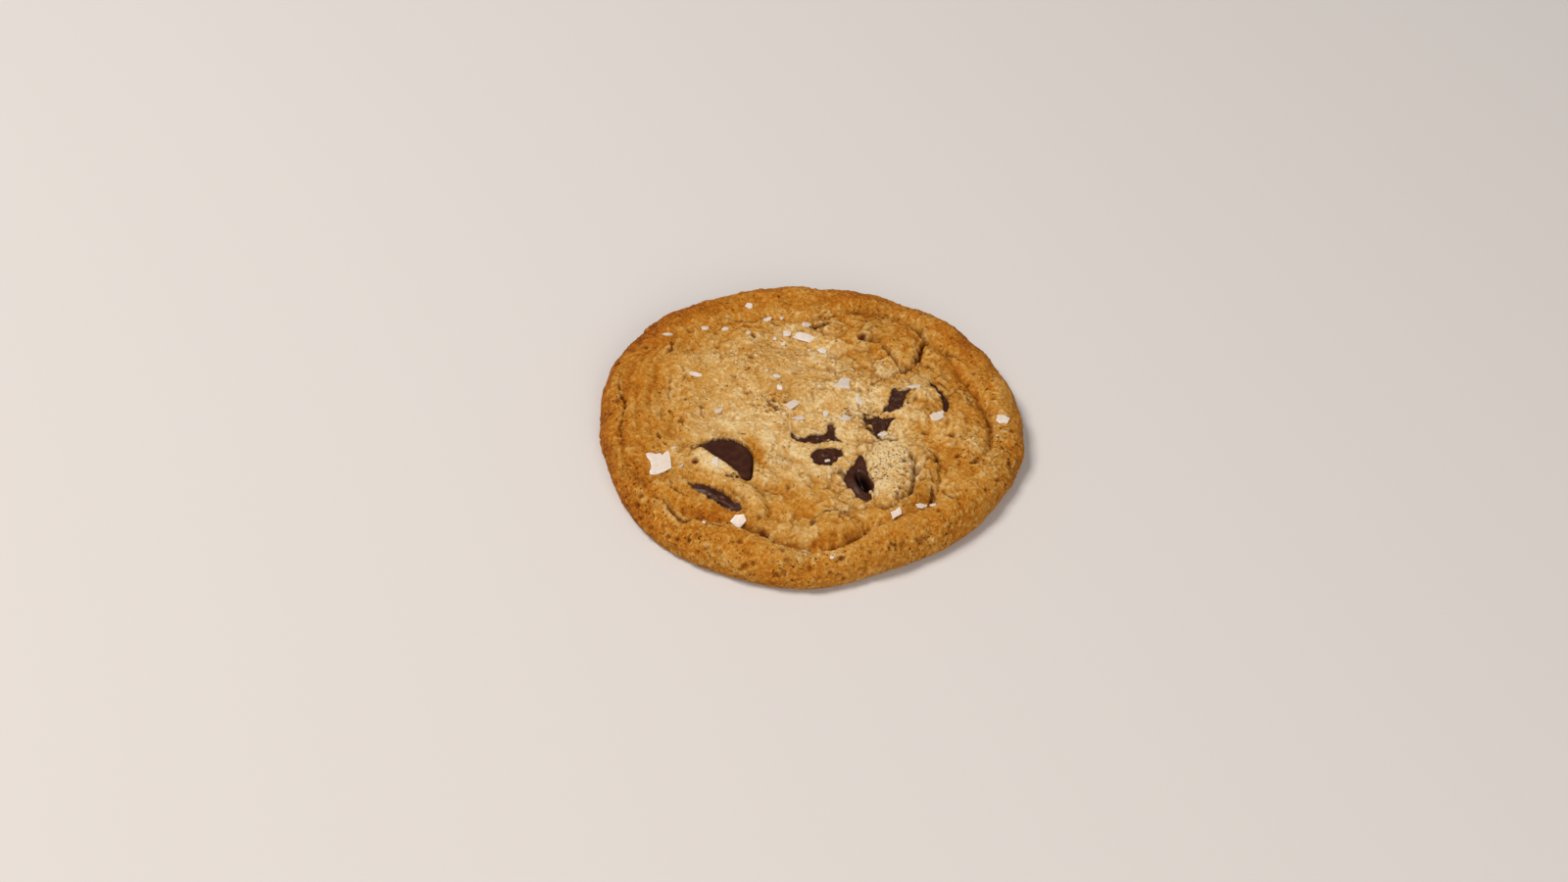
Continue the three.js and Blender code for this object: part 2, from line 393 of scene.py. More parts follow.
CRACKS = tuple(Crack(*row) for row in (
    (((19.6, -10.6), (22.4, -12.2), (23.8, -14.6), (24.0, -17.4), (23.6, -19.6)), 0.45, 0.5),
    (((23.9, -20.6), (24.0, -23.6), (23.4, -26.6), (22.0, -29.2)), 0.4, 0.4),
    (((20.6, -31.0), (18.4, -32.4), (15.6, -31.6)), 0.45, 0.8),
    (((15.4, -9.6), (17.6, -8.4), (19.6, -8.6), (22.2, -7.2)), 0.45, 0.8),
    (((24.6, -10.6), (27.6, -12.2), (30.0, -14.6), (30.6, -18.0)), 0.5, 0.9),
    (((23.8, 35.2), (26.0, 32.3), (27.6, 30.5), (29.0, 29.3), (28.7, 27.2)), 1.2, 2.2),
    (((28.8, 27.4), (27.4, 26.2), (26.8, 24.5), (26.2, 22.5), (25.7, 20.3), (24.5, 17.6)), 0.55, 1.3),
    (((16.0, 26.2), (17.5, 24.0), (19.2, 22.4), (20.1, 20.0), (21.2, 17.6), (22.6, 15.5)), 0.6, 1.3),
    (((24.5, 17.6), (23.6, 16.6), (22.6, 15.5)), 0.6, 1.1),
    (((11.0, 29.2), (11.7, 27.6), (13.2, 26.5), (16.0, 26.2)), 0.6, 1.1),
    (((25.4, 18.9), (28.0, 18.5), (29.4, 17.1), (30.0, 15.4)), 0.4, 0.7),
    (((31.7, 25.2), (34.0, 23.4), (35.2, 22.0), (36.5, 20.5), (38.2, 19.4)), 0.5, 0.8),
    (((17.0, 38.7), (17.6, 37.4), (18.0, 36.3)), 0.7, 1.1),
    (((4.6, 26.7), (5.4, 26.1), (6.3, 25.3)), 0.4, 0.7),
    (((36.3, 11.2), (37.3, 8.6), (38.5, 6.0), (38.8, 3.6)), 0.6, 0.9),
    (((42.0, 2.8), (43.1, 0.0), (43.4, -3.0), (43.0, -7.0)), 0.6, 0.6),
    (((-24.0, 35.7), (-18.0, 34.9), (-12.0, 34.3), (-9.5, 33.0), (-6.0, 31.4), (-4.0, 31.9)), 0.5, 1.0),
    (((-1.0, 33.0), (0.8, 32.6), (3.5, 34.2), (7.6, 33.0)), 0.6, 1.1),
    (((9.8, 35.2), (13.5, 34.4), (16.5, 35.0), (20.3, 36.2), (23.6, 35.2)), 0.5, 0.9),
    (((-15.6, 30.4), (-15.2, 27.6), (-13.8, 25.8)), 0.5, 0.8),
    (((-21.6, 13.6), (-20.0, 12.7), (-17.5, 11.5), (-15.3, 10.7)), 0.4, 0.7),
    (((-12.4, 5.6), (-10.4, 3.0), (-8.6, 0.9), (-5.6, -0.4)), 0.5, 0.8),
    (((-34.9, 26.4), (-35.3, 23.6), (-36.8, 20.2)), 0.6, 0.8),
    (((-32.3, 30.4), (-30.6, 29.7), (-28.8, 30.6)), 0.5, 0.7),
    (((-42.8, 23.0), (-41.6, 23.6), (-40.6, 22.7)), 0.6, 0.9),
    (((-35.2, 14.2), (-34.8, 8.0), (-35.3, 1.8)), 0.45, 0.5),
    (((-32.6, 16.5), (-31.5, 13.0), (-32.2, 10.0)), 0.45, 0.5),
    (((-47.5, 15.8), (-47.8, 9.8), (-46.5, 5.3), (-45.6, 1.0), (-45.9, -4.0), (-46.6, -11.4)), 0.6, 0.9),
    (((-37.5, -6.8), (-36.6, -9.4), (-35.4, -11.4), (-34.7, -13.4)), 0.5, 1.0),
    (((-33.8, -23.6), (-33.1, -26.8), (-30.2, -29.4), (-27.6, -30.6)), 0.6, 0.6),
    (((-35.6, -29.2), (-33.6, -31.7), (-32.0, -34.2), (-30.2, -36.2), (-27.5, -36.8)), 0.7, 1.0),
    (((-24.8, -36.8), (-22.0, -38.3), (-19.6, -39.0)), 0.5, 0.8),
    (((-14.8, -37.3), (-12.0, -38.2), (-10.4, -39.8), (-9.4, -41.6), (-7.6, -43.6)), 0.6, 1.0),
    (((0.3, -37.7), (1.0, -36.0), (1.8, -34.5), (5.0, -33.5), (9.2, -33.9)), 0.5, 0.8),
    (((29.2, -25.0), (28.9, -27.8), (27.4, -30.9)), 0.5, 0.7),
    (((31.4, -25.4), (33.1, -27.2), (35.2, -26.0)), 0.5, 0.7),
    (((5.5, -47.7), (6.7, -46.8), (8.7, -45.9)), 0.6, 0.8),
    (((47.6, -11.6), (48.2, -12.6), (49.2, -15.1)), 0.6, 0.8),
    (((-27.2, 1.4), (-26.9, -1.0), (-25.9, -3.6)), 0.4, 0.5),
))

PITS = tuple(Pit(*row) for row in (
    (-49.3, 19.6, 1.3, 0.9), (-35.2, 25.4, 0.7), (-34.6, 0, 0.8, 0.8), (-32, -3.4, 1.2, 0.5),
    (-49.5, 0.3, 1.5, 0.3), (-48, 4.6, 0.9, 0.4), (-15.4, 19.2, 1), (-24, 24, 0.7), (-24.6, 29.4, 0.7),
    (-27, 1.4, 0.8), (-10.5, 2.2, 0.8), (-9.4, 4.2, 0.6), (11.9, 27.6, 1.2, 0.9), (0.4, 32.8, 1, 1),
    (22.5, 15.8, 0.8, 0.8), (39.9, 16.1, 0.8), (38.4, 13.4, 0.7), (38.8, 4, 0.7), (17, 13, 0.7),
    (-27.6, -18.4, 0.9, 0.9), (-19.8, -23.6, 0.8, 0.9), (-5.4, -12.5, 0.6), (-5.4, -26.2, 0.9),
    (-12, -36, 1), (-29, -36.3, 0.9), (-21.8, -37.9, 0.7), (-5.2, -48, 1.1, 0.4), (-8, -52.2, 1, 0.4),
    (-6.2, -51.6, 1, 0.3), (-28.9, -42.5, 0.8), (-34, -40.1, 0.9, 0.4), (-32.4, -42.7, 0.7, 0.4),
    (-16.7, -43.7, 0.8, 0.4), (-40.4, -28.3, 1, 0.5), (-42.1, -30.2, 1, 0.4), (-43.4, -22.2, 0.7),
    (-45.4, -21, 0.7), (-46.2, -10.8, 0.7), (-37.8, -13.2, 0.6), (-15.5, -49.7, 0.9, 0.3),
    (0, -49.8, 0.9, 0.3), (19.8, -42.6, 0.9, 0.8), (21.4, -42.2, 1.3, 0.2), (18.4, -43.6, 0.7, 0.4),
    (26.2, -40, 1.5, 0.25), (2.6, -43.4, 0.6), (-31.9, -41.5, 0.9, 0.4), (-24.5, -45, 0.9, 0.3),
    (-27, -45.4, 0.7, 0.3), (-21.3, -45.7, 0.6, 0.3), (-16.9, -50.6, 0.8, 0.3),
    (-14.9, -52.4, 0.6, 0.3), (4.7, -50.7, 1, 0.3), (7.2, -51.3, 0.8, 0.3), (-38.4, -37, 0.7, 0.3),
    (-41.8, -33.8, 0.8, 0.3), (-47, -15.2, 0.7, 0.3), (46.9, -23.7, 0.6, 0.3), (50.6, -7, 0.6, 0.3),
    (12.7, -38.3, 1, 0.6), (0.4, -37.6, 0.9, 0.7), (22.3, -17.2, 0.9, 0.9), (22.5, -21, 0.6, 0.5),
    (20.9, -26.6, 0.8, 0.8), (20.2, -28.2, 0.7, 0.7), (29.9, -16, 0.9, 1), (30, -14.4, 0.7, 0.9),
    (33.4, -7.2, 0.9, 1), (34.8, -13.8, 0.7), (39.4, -15.3, 0.9, 0.7), (31.2, -25.2, 0.7),
    (36.8, -24.9, 0.7, 0.7), (26.9, -5.9, 1, 0.6), (28, 3.6, 0.6), (13.2, -4.4, 0.7),
))

TANS = tuple(Patch(*row) for row in (
    (-15.2, -30, 7.5, 3.4, -57, -0.15), (-40, 8, 10, 26, 0, 0.07), (-30, 22, 14, 8, 40, -0.07),
    (-24, -43, 16, 6, -28, -0.10), (19, -27.5, 6.5, 6, 0, -0.26), (22, 24, 13, 11, -40, 0.14),
    (10, 24, 7, 12, 20, 0.10), (-6, -24, 12, 10, 0, 0.08), (-26, -32, 12, 5, -35, 0.10),
    (-13.2, -15.5, 3.2, 8.4, 10, 0.45), (-8, 6, 7, 3, -30, 0.08), (-7, 9, 18, 12, -20, 0.10),
    (28, -20, 10, 11, 0, -0.16), (40, -30, 20, 8, 60, -0.08), (14, -43, 26, 10, 14, -0.10),
    (6, -37.5, 9, 5, 5, -0.05), (-11, 18, 8, 4, -20, 0.08), (17.6, -20, 8, 15, 0, -0.24),
    (0, -4, 14, 8, -30, -0.05), (-23.6, -19.6, 6.5, 3.6, -38, -0.36), (0, 8, 26, 17, -15, 0.07),
    (26, 2, 10, 9, 0, 0.02), (47, 6, 6, 16, 0, -0.13), (2, -47, 20, 9, 0, -0.08),
    (38, 31, 12, 6, -52, 0.10), (-50, -3, 7, 30, 0, 0.18), (-40, 33, 22, 9, 48, 0.22),
    (-46, -26, 16, 8, -55, 0.20), (45, -16, 7, 12, 20, -0.08),
))

SPECKLED = tuple(Patch(*row) for row in (
    (46, -8, 6, 16, 0, 0.7), (30, -38, 16, 6, 40, 0.4), (-27, -40, 18, 6, -35, 0.6),
    (-42, -24, 12, 5, -55, 0.6), (-48, 0, 4, 14, 0, 0.7), (0, -48, 22, 6, 0, 0.4),
    (-18, 19, 9, 5, -15, 0.9), (-10, 2, 10, 6, -25, 0.8), (19, -19, 8, 14, 0, 1),
    (12, -2, 12, 6, 0, 0.9), (12, 10, 8, 8, 0, 0.5), (38, -14, 8, 8, 0, 0.6), (8, 38, 24, 5, 0, 0.5),
    (42, 8, 5, 12, 0, 0.5),
))

CRUMBLY = tuple(Patch(*row) for row in (
    (22, -1, 14, 11, 0, 1), (24.5, -17, 5, 14, 0, 0.9), (20, 18, 11, 8, -30, 0.8),
    (24, 30, 10, 7, -50, 0.8), (4, 33, 24, 5, 0, 0.7), (-12, -35, 12, 5, -20, 0.7),
    (-30, -12, 5, 9, 0, 0.6), (-32, 4, 7, 12, 0, 0.5),
))

SMOOTH = tuple(Patch(*row) for row in (
    (20.5, 27.5, 9, 6, -50, 0.8), (33, 19.5, 7, 5, -50, 0.6), (38, -1, 6, 11, 0, 0.6),
    (-15, -30.5, 7.5, 3.6, -57, 0.9), (17.8, -20.5, 7.5, 12.5, 0, 1.1), (-23.6, -19.4, 7, 4, -38, 1),
    (2, -4, 16, 8, -30, 0.6), (-8, 16, 16, 9, -20, 0.4), (-28, 12, 12, 16, 0, 0.4),
))

SMEARS = tuple(Patch(*row) for row in (
    (7.4, -21.6, 3, 1, -72, 0.5), (13.8, -6, 1.8, 0.8, -40, 1), (15.6, -8.4, 1.7, 0.6, -30, 0.9),
    (-28.6, -13.4, 2, 0.5, 65, 0.6), (-30, -12.3, 1.2, 0.5, 40, 0.4), (4.6, -4.4, 1.3, 0.9, 60, 0.5),
    (23.2, 2.3, 0.7, 0.6, 0, 1), (-18.6, -23.2, 1.8, 0.35, 20, 0.7), (31.7, 10.9, 2.2, 0.4, -55, 0.7),
))


class Melt(Enum):
    """How far a piece of chocolate melted in the oven."""

    SOFTENED = "softened"
    MELTED = "melted"


# A piece of chocolate starts as a ball. These are the shares of the way from its top to its middle
# at which its flat face ends and its upright side starts, and the widths of those two changes.
FACE_END = 0.42
FACE_BLEND = 0.06
SIDE_START = 0.48
SIDE_BLEND = 0.04
CORNER_SPREAD = 0.25
# A dent this deep in mm is painted in its darkest shade.
DARKEST_DENT = 1.5


@dataclass(frozen=True)
class Chocolate:
    """A piece of chocolate that shows through an opening in the dough.

    The pan is how deep the dough is hollowed under it, and the piece is sunk by less than that. It
    reaches under the dough by its margin, and at least as far as its radius from its middle. Its
    face is rough by so much, in bumps of a size that are drawn out along one way.
    """

    outline: tuple[Place, ...]
    middle: Place
    pan: float = 2.2
    sunk: float = 0.5
    thick: float = 3.0
    margin: float = 0.7
    radius: float = 0.0
    edge: float = 0.6
    fray: float = 0.9
    rough: float = 0.2
    bump: float = 2.0
    drawn_out: float = 1.0
    turn: float = 0.0
    dents: tuple[Patch, ...] = ()
    melt: Melt = Melt.MELTED

    def reach(self, angle: np.ndarray) -> np.ndarray:
        """How far the piece reaches from its middle at each angle.

        Args:
            angle: the angles in radians.

        Returns:
            The reaches in mm, a little beyond the opening.
        """
        corners = np.array(rounded(self.outline, 8)) - np.array(self.middle)
        ways = np.arctan2(corners[:, 1], corners[:, 0])
        sizes = np.hypot(*corners.T)
        apart = np.abs((angle[:, None] - ways[None, :] + math.pi) % math.tau - math.pi)
        widest = (sizes[None, :] * bell(apart / CORNER_SPREAD)).max(axis=1)
        return np.maximum(widest, self.radius) + self.margin

    def seat(self, skin: np.ndarray) -> np.ndarray:
        """Finds the plane on which the dough round the opening lies.

        Args:
            skin: one row of x, y and z for each point of the dough's skin.

        Returns:
            The plane's slope along x and along y, and its height at the origin.
        """
        deep = depth_inside(skin[:, 0], skin[:, 1], self.outline)
        near = skin[(deep < -0.5) & (deep > -2.5) & (skin[:, 2] > 4.0)]
        flat = np.stack([near[:, 0], near[:, 1], np.ones(len(near))], axis=1)
        return np.linalg.lstsq(flat, near[:, 2], rcond=None)[0]

    def face(self, x: np.ndarray, y: np.ndarray, seed: int) -> np.ndarray:
        """The relief of the face at each point, in mm."""
        cos, sin = math.cos(math.radians(self.turn)), math.sin(math.radians(self.turn))
        along = (x * cos + y * sin) / self.drawn_out
        across = y * cos - x * sin
        spots = np.stack([along, across, np.zeros(x.shape)], axis=1)
        ridges = 0.5 - np.abs(ripple(spots, self.bump, 2, seed))
        relief = self.rough * (ridges + 0.2 * ripple(spots, 0.4 * self.bump, 1, seed + 1))
        for dent in self.dents:
            relief -= dent.at(x, y)
        return relief

    def build(
        self, name: str, skin: np.ndarray, look: bpy.types.Material, seed: int
    ) -> bpy.types.Object:
        """Makes the piece.

        Args:
            name: the piece's name.
            skin: one row of x, y and z in mm for each point of the dough's skin.
            look: the chocolate's material.
            seed: a number that picks the relief of its face.

        Returns:
            The piece, in metres.
        """
        bm = bmesh.new()
        bmesh.ops.create_icosphere(bm, subdivisions=5, radius=1.0)
        ball = np.array([vert.co[:] for vert in bm.verts])
        angle = np.arctan2(ball[:, 1], ball[:, 0])
        down = np.arccos(np.clip(ball[:, 2], -1.0, 1.0)) / math.pi
        out = self.reach(angle)
        half = np.minimum(down, 1.0 - down)
        lean = np.clip((half - FACE_END) / FACE_BLEND, 0.0, 1.0) * math.pi / 2.0
        on_face = (out - self.edge) * half / FACE_END
        radius = np.where(half < FACE_END, on_face, out - self.edge * (1.0 - np.sin(lean)))
        drop = self.edge * (1.0 - np.cos(lean))
        wall = np.clip((down - SIDE_START) / SIDE_BLEND, 0.0, 1.0)
        x = self.middle[0] + radius * np.cos(angle)
        y = self.middle[1] + radius * np.sin(angle)
        slope_x, slope_y, height = self.seat(skin)
        upper = down < 0.5
        face = self.face(x, y, seed) * smooth(SIDE_START, FACE_END, down)
        top = slope_x * x + slope_y * y + height - self.sunk + face
        depth = np.where(upper, drop, self.thick - drop)
        side = self.edge + (self.thick - 2.0 * self.edge) * wall
        depth = np.where(half >= SIDE_START, side, depth)
        # The depth of each dent is kept as painted shade, darkest where a dent is deepest.
        deep = sum(np.clip(dent.at(x, y), 0.0, None) for dent in self.dents) + np.zeros(x.shape)
        hollow = bm.verts.layers.float.new("hollow")
        places = np.stack([x, y, top - depth], axis=1) * MM
        for vert, place, share in zip(bm.verts, places, deep.tolist()):
            vert.co = place
            vert[hollow] = min(1.0, share / DARKEST_DENT)
        return make_piece(name, bm, look)


CHOCOLATES = {
    "chocolate_disc": Chocolate(
        outline=(
            (-28.2, -15.0), (-26.2, -11.8), (-21.2, -10.1), (-17.0, -11.4), (-14.2, -15.4),
            (-13.9, -20.3), (-14.6, -24.1), (-17.3, -21.9), (-20.5, -18.8), (-24.2, -15.6),
            (-26.4, -13.4),
        ),
        middle=(-21.0, -17.5),
        pan=2.6,
        sunk=0.15,
        thick=3.4,
        margin=-0.25,
        radius=7.4,
        edge=0.9,
        fray=0.08,
        rough=0.05,
        bump=5.0,
        dents=(Patch(-25.0, -21.4, 9.0, 4.2, -42, 1.6),),
        melt=Melt.SOFTENED,
    ),
    "chocolate_left_slit": Chocolate(
        outline=(
            (-28.9, -25.4), (-27.2, -24.9), (-24.6, -25.6), (-20.3, -28.4), (-17.6, -30.9),
            (-16.2, -32.9), (-17.6, -33.7), (-20.0, -32.9), (-23.0, -30.5), (-26.2, -28.1),
        ),
        middle=(-22.3, -28.9),
        pan=3.0,
        sunk=1.1,
        rough=0.30,
        bump=1.6,
        drawn_out=2.4,
        turn=-35.0,
        dents=(Patch(-22.6, -28.9, 6.5, 1.5, -34, -0.55),),
    ),
    "chocolate_middle_sliver": Chocolate(
        outline=(
            (-5.2, -7.3), (-3.4, -9.0), (-1.0, -8.8), (1.0, -7.5), (3.0, -7.3), (4.1, -4.5),
            (5.3, -4.9), (5.5, -8.0), (7.3, -10.5), (4.0, -9.3), (1.5, -10.7), (-1.5, -10.6),
            (-4.2, -10.0),
        ),
        middle=(1.5, -8.7),
        sunk=0.6,
        rough=0.45,
        bump=1.6,
    ),
    "chocolate_middle_oval": Chocolate(
        outline=(
            (0.2, -15.4), (0.9, -13.5), (3.0, -12.6), (6.2, -12.4), (7.5, -13.7), (7.0, -15.5),
            (5.3, -17.5), (3.2, -19.2), (1.1, -18.6), (0.1, -17.2),
        ),
        middle=(3.6, -15.3),
        sunk=0.45,
        rough=0.45,
        bump=1.8,
        turn=35.0,
        drawn_out=1.6,
    ),
    "chocolate_front_crescent": Chocolate(
        outline=(
            (11.6, -15.3), (12.4, -18.0), (13.1, -20.8), (14.9, -25.4), (13.5, -26.6),
            (13.8, -29.4), (11.5, -29.2), (9.4, -26.0), (7.9, -23.3), (8.4, -20.2), (10.0, -18.2),
        ),
        middle=(11.2, -22.4),
        pan=3.6,
        sunk=0.5,
        thick=3.6,
        rough=0.05,
        bump=3.0,
        dents=(
            Patch(12.2, -23.6, 4.2, 1.7, -66, 2.7),
            Patch(10.3, -24.4, 5.0, 1.2, -62, -0.4),
        ),
    ),
    "chocolate_cluster_left": Chocolate(
        outline=(
            (19.8, 8.2), (21.2, 7.0), (24.1, 7.1), (22.6, 5.2), (22.4, 3.4), (21.1, 1.0),
            (17.2, 0.5), (18.9, 4.4),
        ),
        middle=(20.7, 4.4),
        sunk=0.25,
        rough=0.3,
        bump=1.8,
        melt=Melt.SOFTENED,
    ),
    "chocolate_cluster_right": Chocolate(
        outline=(
            (28.7, 11.2), (30.1, 10.4), (31.4, 8.2), (33.0, 5.6), (33.1, 2.8), (32.3, 0.6),
            (31.6, 2.6), (31.8, 4.9), (30.4, 7.3),
        ),
        middle=(31.6, 6.0),
        pan=2.4,
        sunk=0.5,
        rough=0.3,
        bump=1.6,
        melt=Melt.SOFTENED,
    ),
    "chocolate_cluster_front": Chocolate(
        outline=(
            (12.2, -0.2), (13.7, -1.8), (15.4, -1.1), (17.0, -2.0), (19.8, -1.6), (18.5, -3.8),
            (17.9, -5.9), (16.6, -6.0), (15.4, -7.3), (14.8, -5.8), (14.7, -4.4), (13.2, -3.1),
        ),
        middle=(16.2, -2.9),
        pan=2.0,
        sunk=0.4,
        rough=0.5,
        bump=1.4,
        melt=Melt.SOFTENED,
    ),
}


@dataclass
class Skin:
    """Points of the dough's skin, before they are made a mesh.

    Each has its place in mm, the way out of the dough, its share of the way from the middle of the
    top to the foot, and where it would be if the side were rolled out flat round the top.
    """

    place: np.ndarray
    outward: np.ndarray
    share: np.ndarray
    spread: np.ndarray

    @property
    def x(self) -> np.ndarray:
        """Each point's x in mm."""
        return self.place[:, 0]

    @property
    def y(self) -> np.ndarray:
        """Each point's y in mm."""
        return self.place[:, 1]


@dataclass
class Relief:
    """What is done to each point of the smooth skin, and what colours it."""

    upward: np.ndarray
    outward: np.ndarray
    # Browning of the crust, with painted light on raised crust and painted shade in hollows.
    browning_light_and_shade: np.ndarray
    speckled: np.ndarray
    # Painted shade in cracks, gaps, seams, valleys and pores, and in the pits also the dark of burnt spots.
    shade_and_burn: np.ndarray
    cocoa: np.ndarray

    def darken(self, shade: np.ndarray) -> None:
        """Gives each point at least this much darkness: painted shade in a hollow, and in a pit also the dark
        of a burnt spot.
        """
        self.shade_and_burn = np.maximum(self.shade_and_burn, shade)


def over_patches(patches: Iterable[Patch], skin: Skin) -> np.ndarray:
    """The values of some patches at each point of the skin, added up."""
    return sum(patch.at(skin.x, skin.y) for patch in patches)


@dataclass
class Dough:
    """The baked dough: a raised round rim, a crease inside it, and an uneven cracked top.

    Browning is 0 where the crust is palest and 1 where it is burnt; it also carries painted light on raised
    crust and painted shade in hollows, and a painted shade darkens each hollow.
    """

    # The smooth form.
    bulge_height: float = 2.5
    curl: float = 1.5
    shoulder: float = 6.5
    rim_height: float = 8.8
    crease_depth: float = 1.3
    crease_width: float = 2.0
    crease_share: RoundLine = RoundLine(
        (1.2, 1.0, 1.6, 1.3, 0.9, 0.7, 0.4, 0.3, 0.9, 0.9, 1.5, 1.7, 1.8, 1.3, 0.6, 0.4)
    )
    floor_drop: float = 0.3
    floor_blend: float = 4.0
    dome: float = 1.0
    tears: tuple[Clouds, ...] = (Clouds(0.40, 3.2, 2, 44), Clouds(0.22, 1.3, 2, 45))
    lumps: tuple[Clouds, ...] = (Clouds(0.40, 11.0, 2, 1), Clouds(0.22, 4.5, 2, 2))

    # The mesh, from the middle of the top to the foot, and then the underside.
    rings: int = 160
    side_share: float = 0.225
    curl_share: float = 0.25
    foot_rings: int = 14
    top_map: Place = (0.405, 0.4)
    foot_map: Place = (0.82, 0.17)

    # The folds, plates and grains of the crust.
    fold_height: float = 0.7
    fold_slant: float = -36.0
    fold_length: float = 2.4
    valley: float = 0.07
    valley_shade: float = 0.22
    valley_browning: float = 0.08
    slanted_folds: Clouds = Clouds(1.0, 5.2, 3, 41)
    round_folds: Clouds = Clouds(1.0, 5.6, 3, 42)
    fold_areas: Clouds = Clouds(1.0, 14.0, 1, 43)
    coarse: Plates = Plates(size=5.2, step=0.24, tilt=0.06, gap=0.55, gap_width=0.30, seed=21)
    long: Plates = Plates(size=4.2, step=0.16, tilt=0.05, gap=0.40, gap_width=0.30, seed=22)
    fine: Plates = Plates(size=1.45, step=0.10, tilt=0.08, gap=0.20, gap_width=0.24, seed=23)
    plate_light_and_shade: float = 0.4
    frays: tuple[Clouds, ...] = (Clouds(1.0, 3.0, 2, 7), Clouds(1.0, 3.0, 2, 8))
    broken_areas: Clouds = Clouds(1.0, 7.0, 2, 6)
    seam_width: float = 0.42
    seam_depth: float = 0.35
    seam_shade: float = 0.42
    sand: Clouds = Clouds(1.0, 1.5, 3, 3)
    sand_height: float = 0.34
    crumb_height: float = 0.30
    sand_browning: float = 0.32

    # Cracks, pits and pores.
    ragged: Clouds = Clouds(1.0, 1.5, 2, 20)
    wander: tuple[Clouds, ...] = (Clouds(0.5, 3.5, 2, 19), Clouds(0.28, 1.2, 2, 18))
    lip_height: float = 0.14
    lip_highlight: float = 0.12
    pores: int = 320
    least_pore: float = 0.30
    pore_range: float = 0.34
    least_speckled: float = 0.15
    # Painted shade in hollows and painted light on ridges, from how far the skin lies below the skin round
    # it.
    hollow_rounds: int = 20
    hollow_start: float = 0.10
    hollow_shade: float = 1.25
    darkest_hollow: float = 0.6
    relief_light_and_shade: float = 0.26
    light_and_shade_depth: float = 0.22

    # The edge round the chocolate.
    melt: Clouds = Clouds(0.40, 1.3, 2, 25)
    melt_lip: float = 0.12

    # The browning, and a painted highlight along the rim's crest.
    palest: float = 0.20
    outer_browning: float = 0.36
    rim_browning: float = 0.12
    crease_browning: float = 0.11
    crest_highlight: float = 0.07
    browning_clouds: tuple[Clouds, ...] = (Clouds(0.08, 9.0, 3, 30), Clouds(0.03, 2.4, 3, 31))
    foot_browning: float = 0.75

    def top(self, x: np.ndarray, y: np.ndarray) -> np.ndarray:
        """The smooth height of the top at points inside the rim's crest, in mm."""
        angle = np.arctan2(y, x)
        crease = CREASE.at(angle)
        inside = crease - np.hypot(x, y)
        wide, narrow = bell(inside / self.crease_width), bell(inside / (0.4 * self.crease_width))
        groove = self.crease_depth * self.crease_share.at(angle) * (0.7 * wide + 0.4 * narrow)
        floor = self.floor_drop * smooth(0.0, self.floor_blend, inside)
        dome = self.dome * np.clip(1.0 - (np.hypot(x, y) / crease) ** 2, 0.0, None)
        return self.rim_height - groove - floor + dome

    def lay(self, flat: np.ndarray) -> Skin:
        """Lays the points of a flat hexagon over the top and the side.

        Args:
            flat: one row of x and y for each point, in a hexagon with corners 1 from its middle.

        Returns:
            The skin, whose share is 0 at the top's middle and 1 at the foot.
        """
        sixth = math.tau / 6.0
        turn = np.arctan2(flat[:, 1], flat[:, 0])
        middle = np.round(turn / sixth) * sixth
        flatness = math.cos(sixth / 2.0)
        share = np.clip(np.hypot(*flat.T) * np.cos(turn - middle) / flatness, 0.0, 1.0)
        angle = middle + np.tan(turn - middle) * flatness * sixth
        edge = EDGE.at(angle)
        crest = 1.0 - self.side_share
        down = np.clip((share - crest) / self.side_share, 0.0, 1.0)
        on_side = down > 0.0
        on_curl = down > 1.0 - self.curl_share
        rise = np.where(
            on_curl,
            (down - 1.0 + self.curl_share) / self.curl_share,
            1.0 - down / (1.0 - self.curl_share),
        )
        lean = rise * math.pi / 2.0
        depth = np.where(on_curl, self.curl, self.shoulder)
        on_top = (edge - self.shoulder) * share / crest
        radius = np.where(on_side, edge - depth * (1.0 - np.cos(lean)), on_top)
        inner = np.minimum(radius, edge - self.shoulder)
        top = self.top(inner * np.cos(angle), inner * np.sin(angle))
        reach = np.where(on_curl, -self.bulge_height, top - self.bulge_height)
        height = np.where(on_side, self.bulge_height + reach * np.sin(lean), top)
        place = np.stack([radius * np.cos(angle), radius * np.sin(angle), height], axis=1)
        level = np.where(on_side, np.cos(lean), 0.0)
        upward = np.where(on_side, np.sin(lean) * np.where(on_curl, -1.0, 1.0), 1.0)
        outward = np.stack([level * np.cos(angle), level * np.sin(angle), upward], axis=1)
        past_bulge = self.shoulder * math.pi / 2.0 + 2.0 * lean
        before_bulge = self.shoulder * (math.pi / 2.0 - lean)
        rolled = np.where(on_curl, past_bulge, before_bulge)
        out = np.where(on_side, edge - self.shoulder + rolled, radius)
        spread = np.stack([out * np.cos(angle), out * np.sin(angle)], axis=1)
        return Skin(place, outward, share, spread)

    def knead(self, skin: Skin, pairs: np.ndarray) -> Relief:
        """Works out the relief and the colour of the whole skin.

        Args:
            skin: the smooth skin.
            pairs: the numbers of the two points of each edge.

        Returns:
            The relief, in mm.
        """
        blank = np.zeros(len(skin.place))
        relief = Relief(*(blank.copy() for _ in fields(Relief)))
        relief.browning_light_and_shade += self.brown(skin)
        relief.speckled += self.least_speckled + over_patches(SPECKLED, skin)
        self.swell(skin, relief)
        self.crumble(skin, relief)
        self.crack(skin, relief)
        self.pierce(skin, relief)
        self.shade_hollows(relief, pairs)
        self.open_for_chocolate(skin, relief)
        return relief

    def swell(self, skin: Skin, relief: Relief) -> None:
        """Raises the humps and slabs of the top and the soft lumps of the whole skin."""
        for swell in SWELLS:
            relief.upward += swell.at(skin.x, skin.y)
        torn = layered(self.tears, skin.place)
        for slab in SLABS:
            relief.upward += slab.lift(skin.x + torn, skin.y - torn)
        relief.outward += layered(self.lumps, skin.place) * smooth(1.0, 0.93, skin.share)

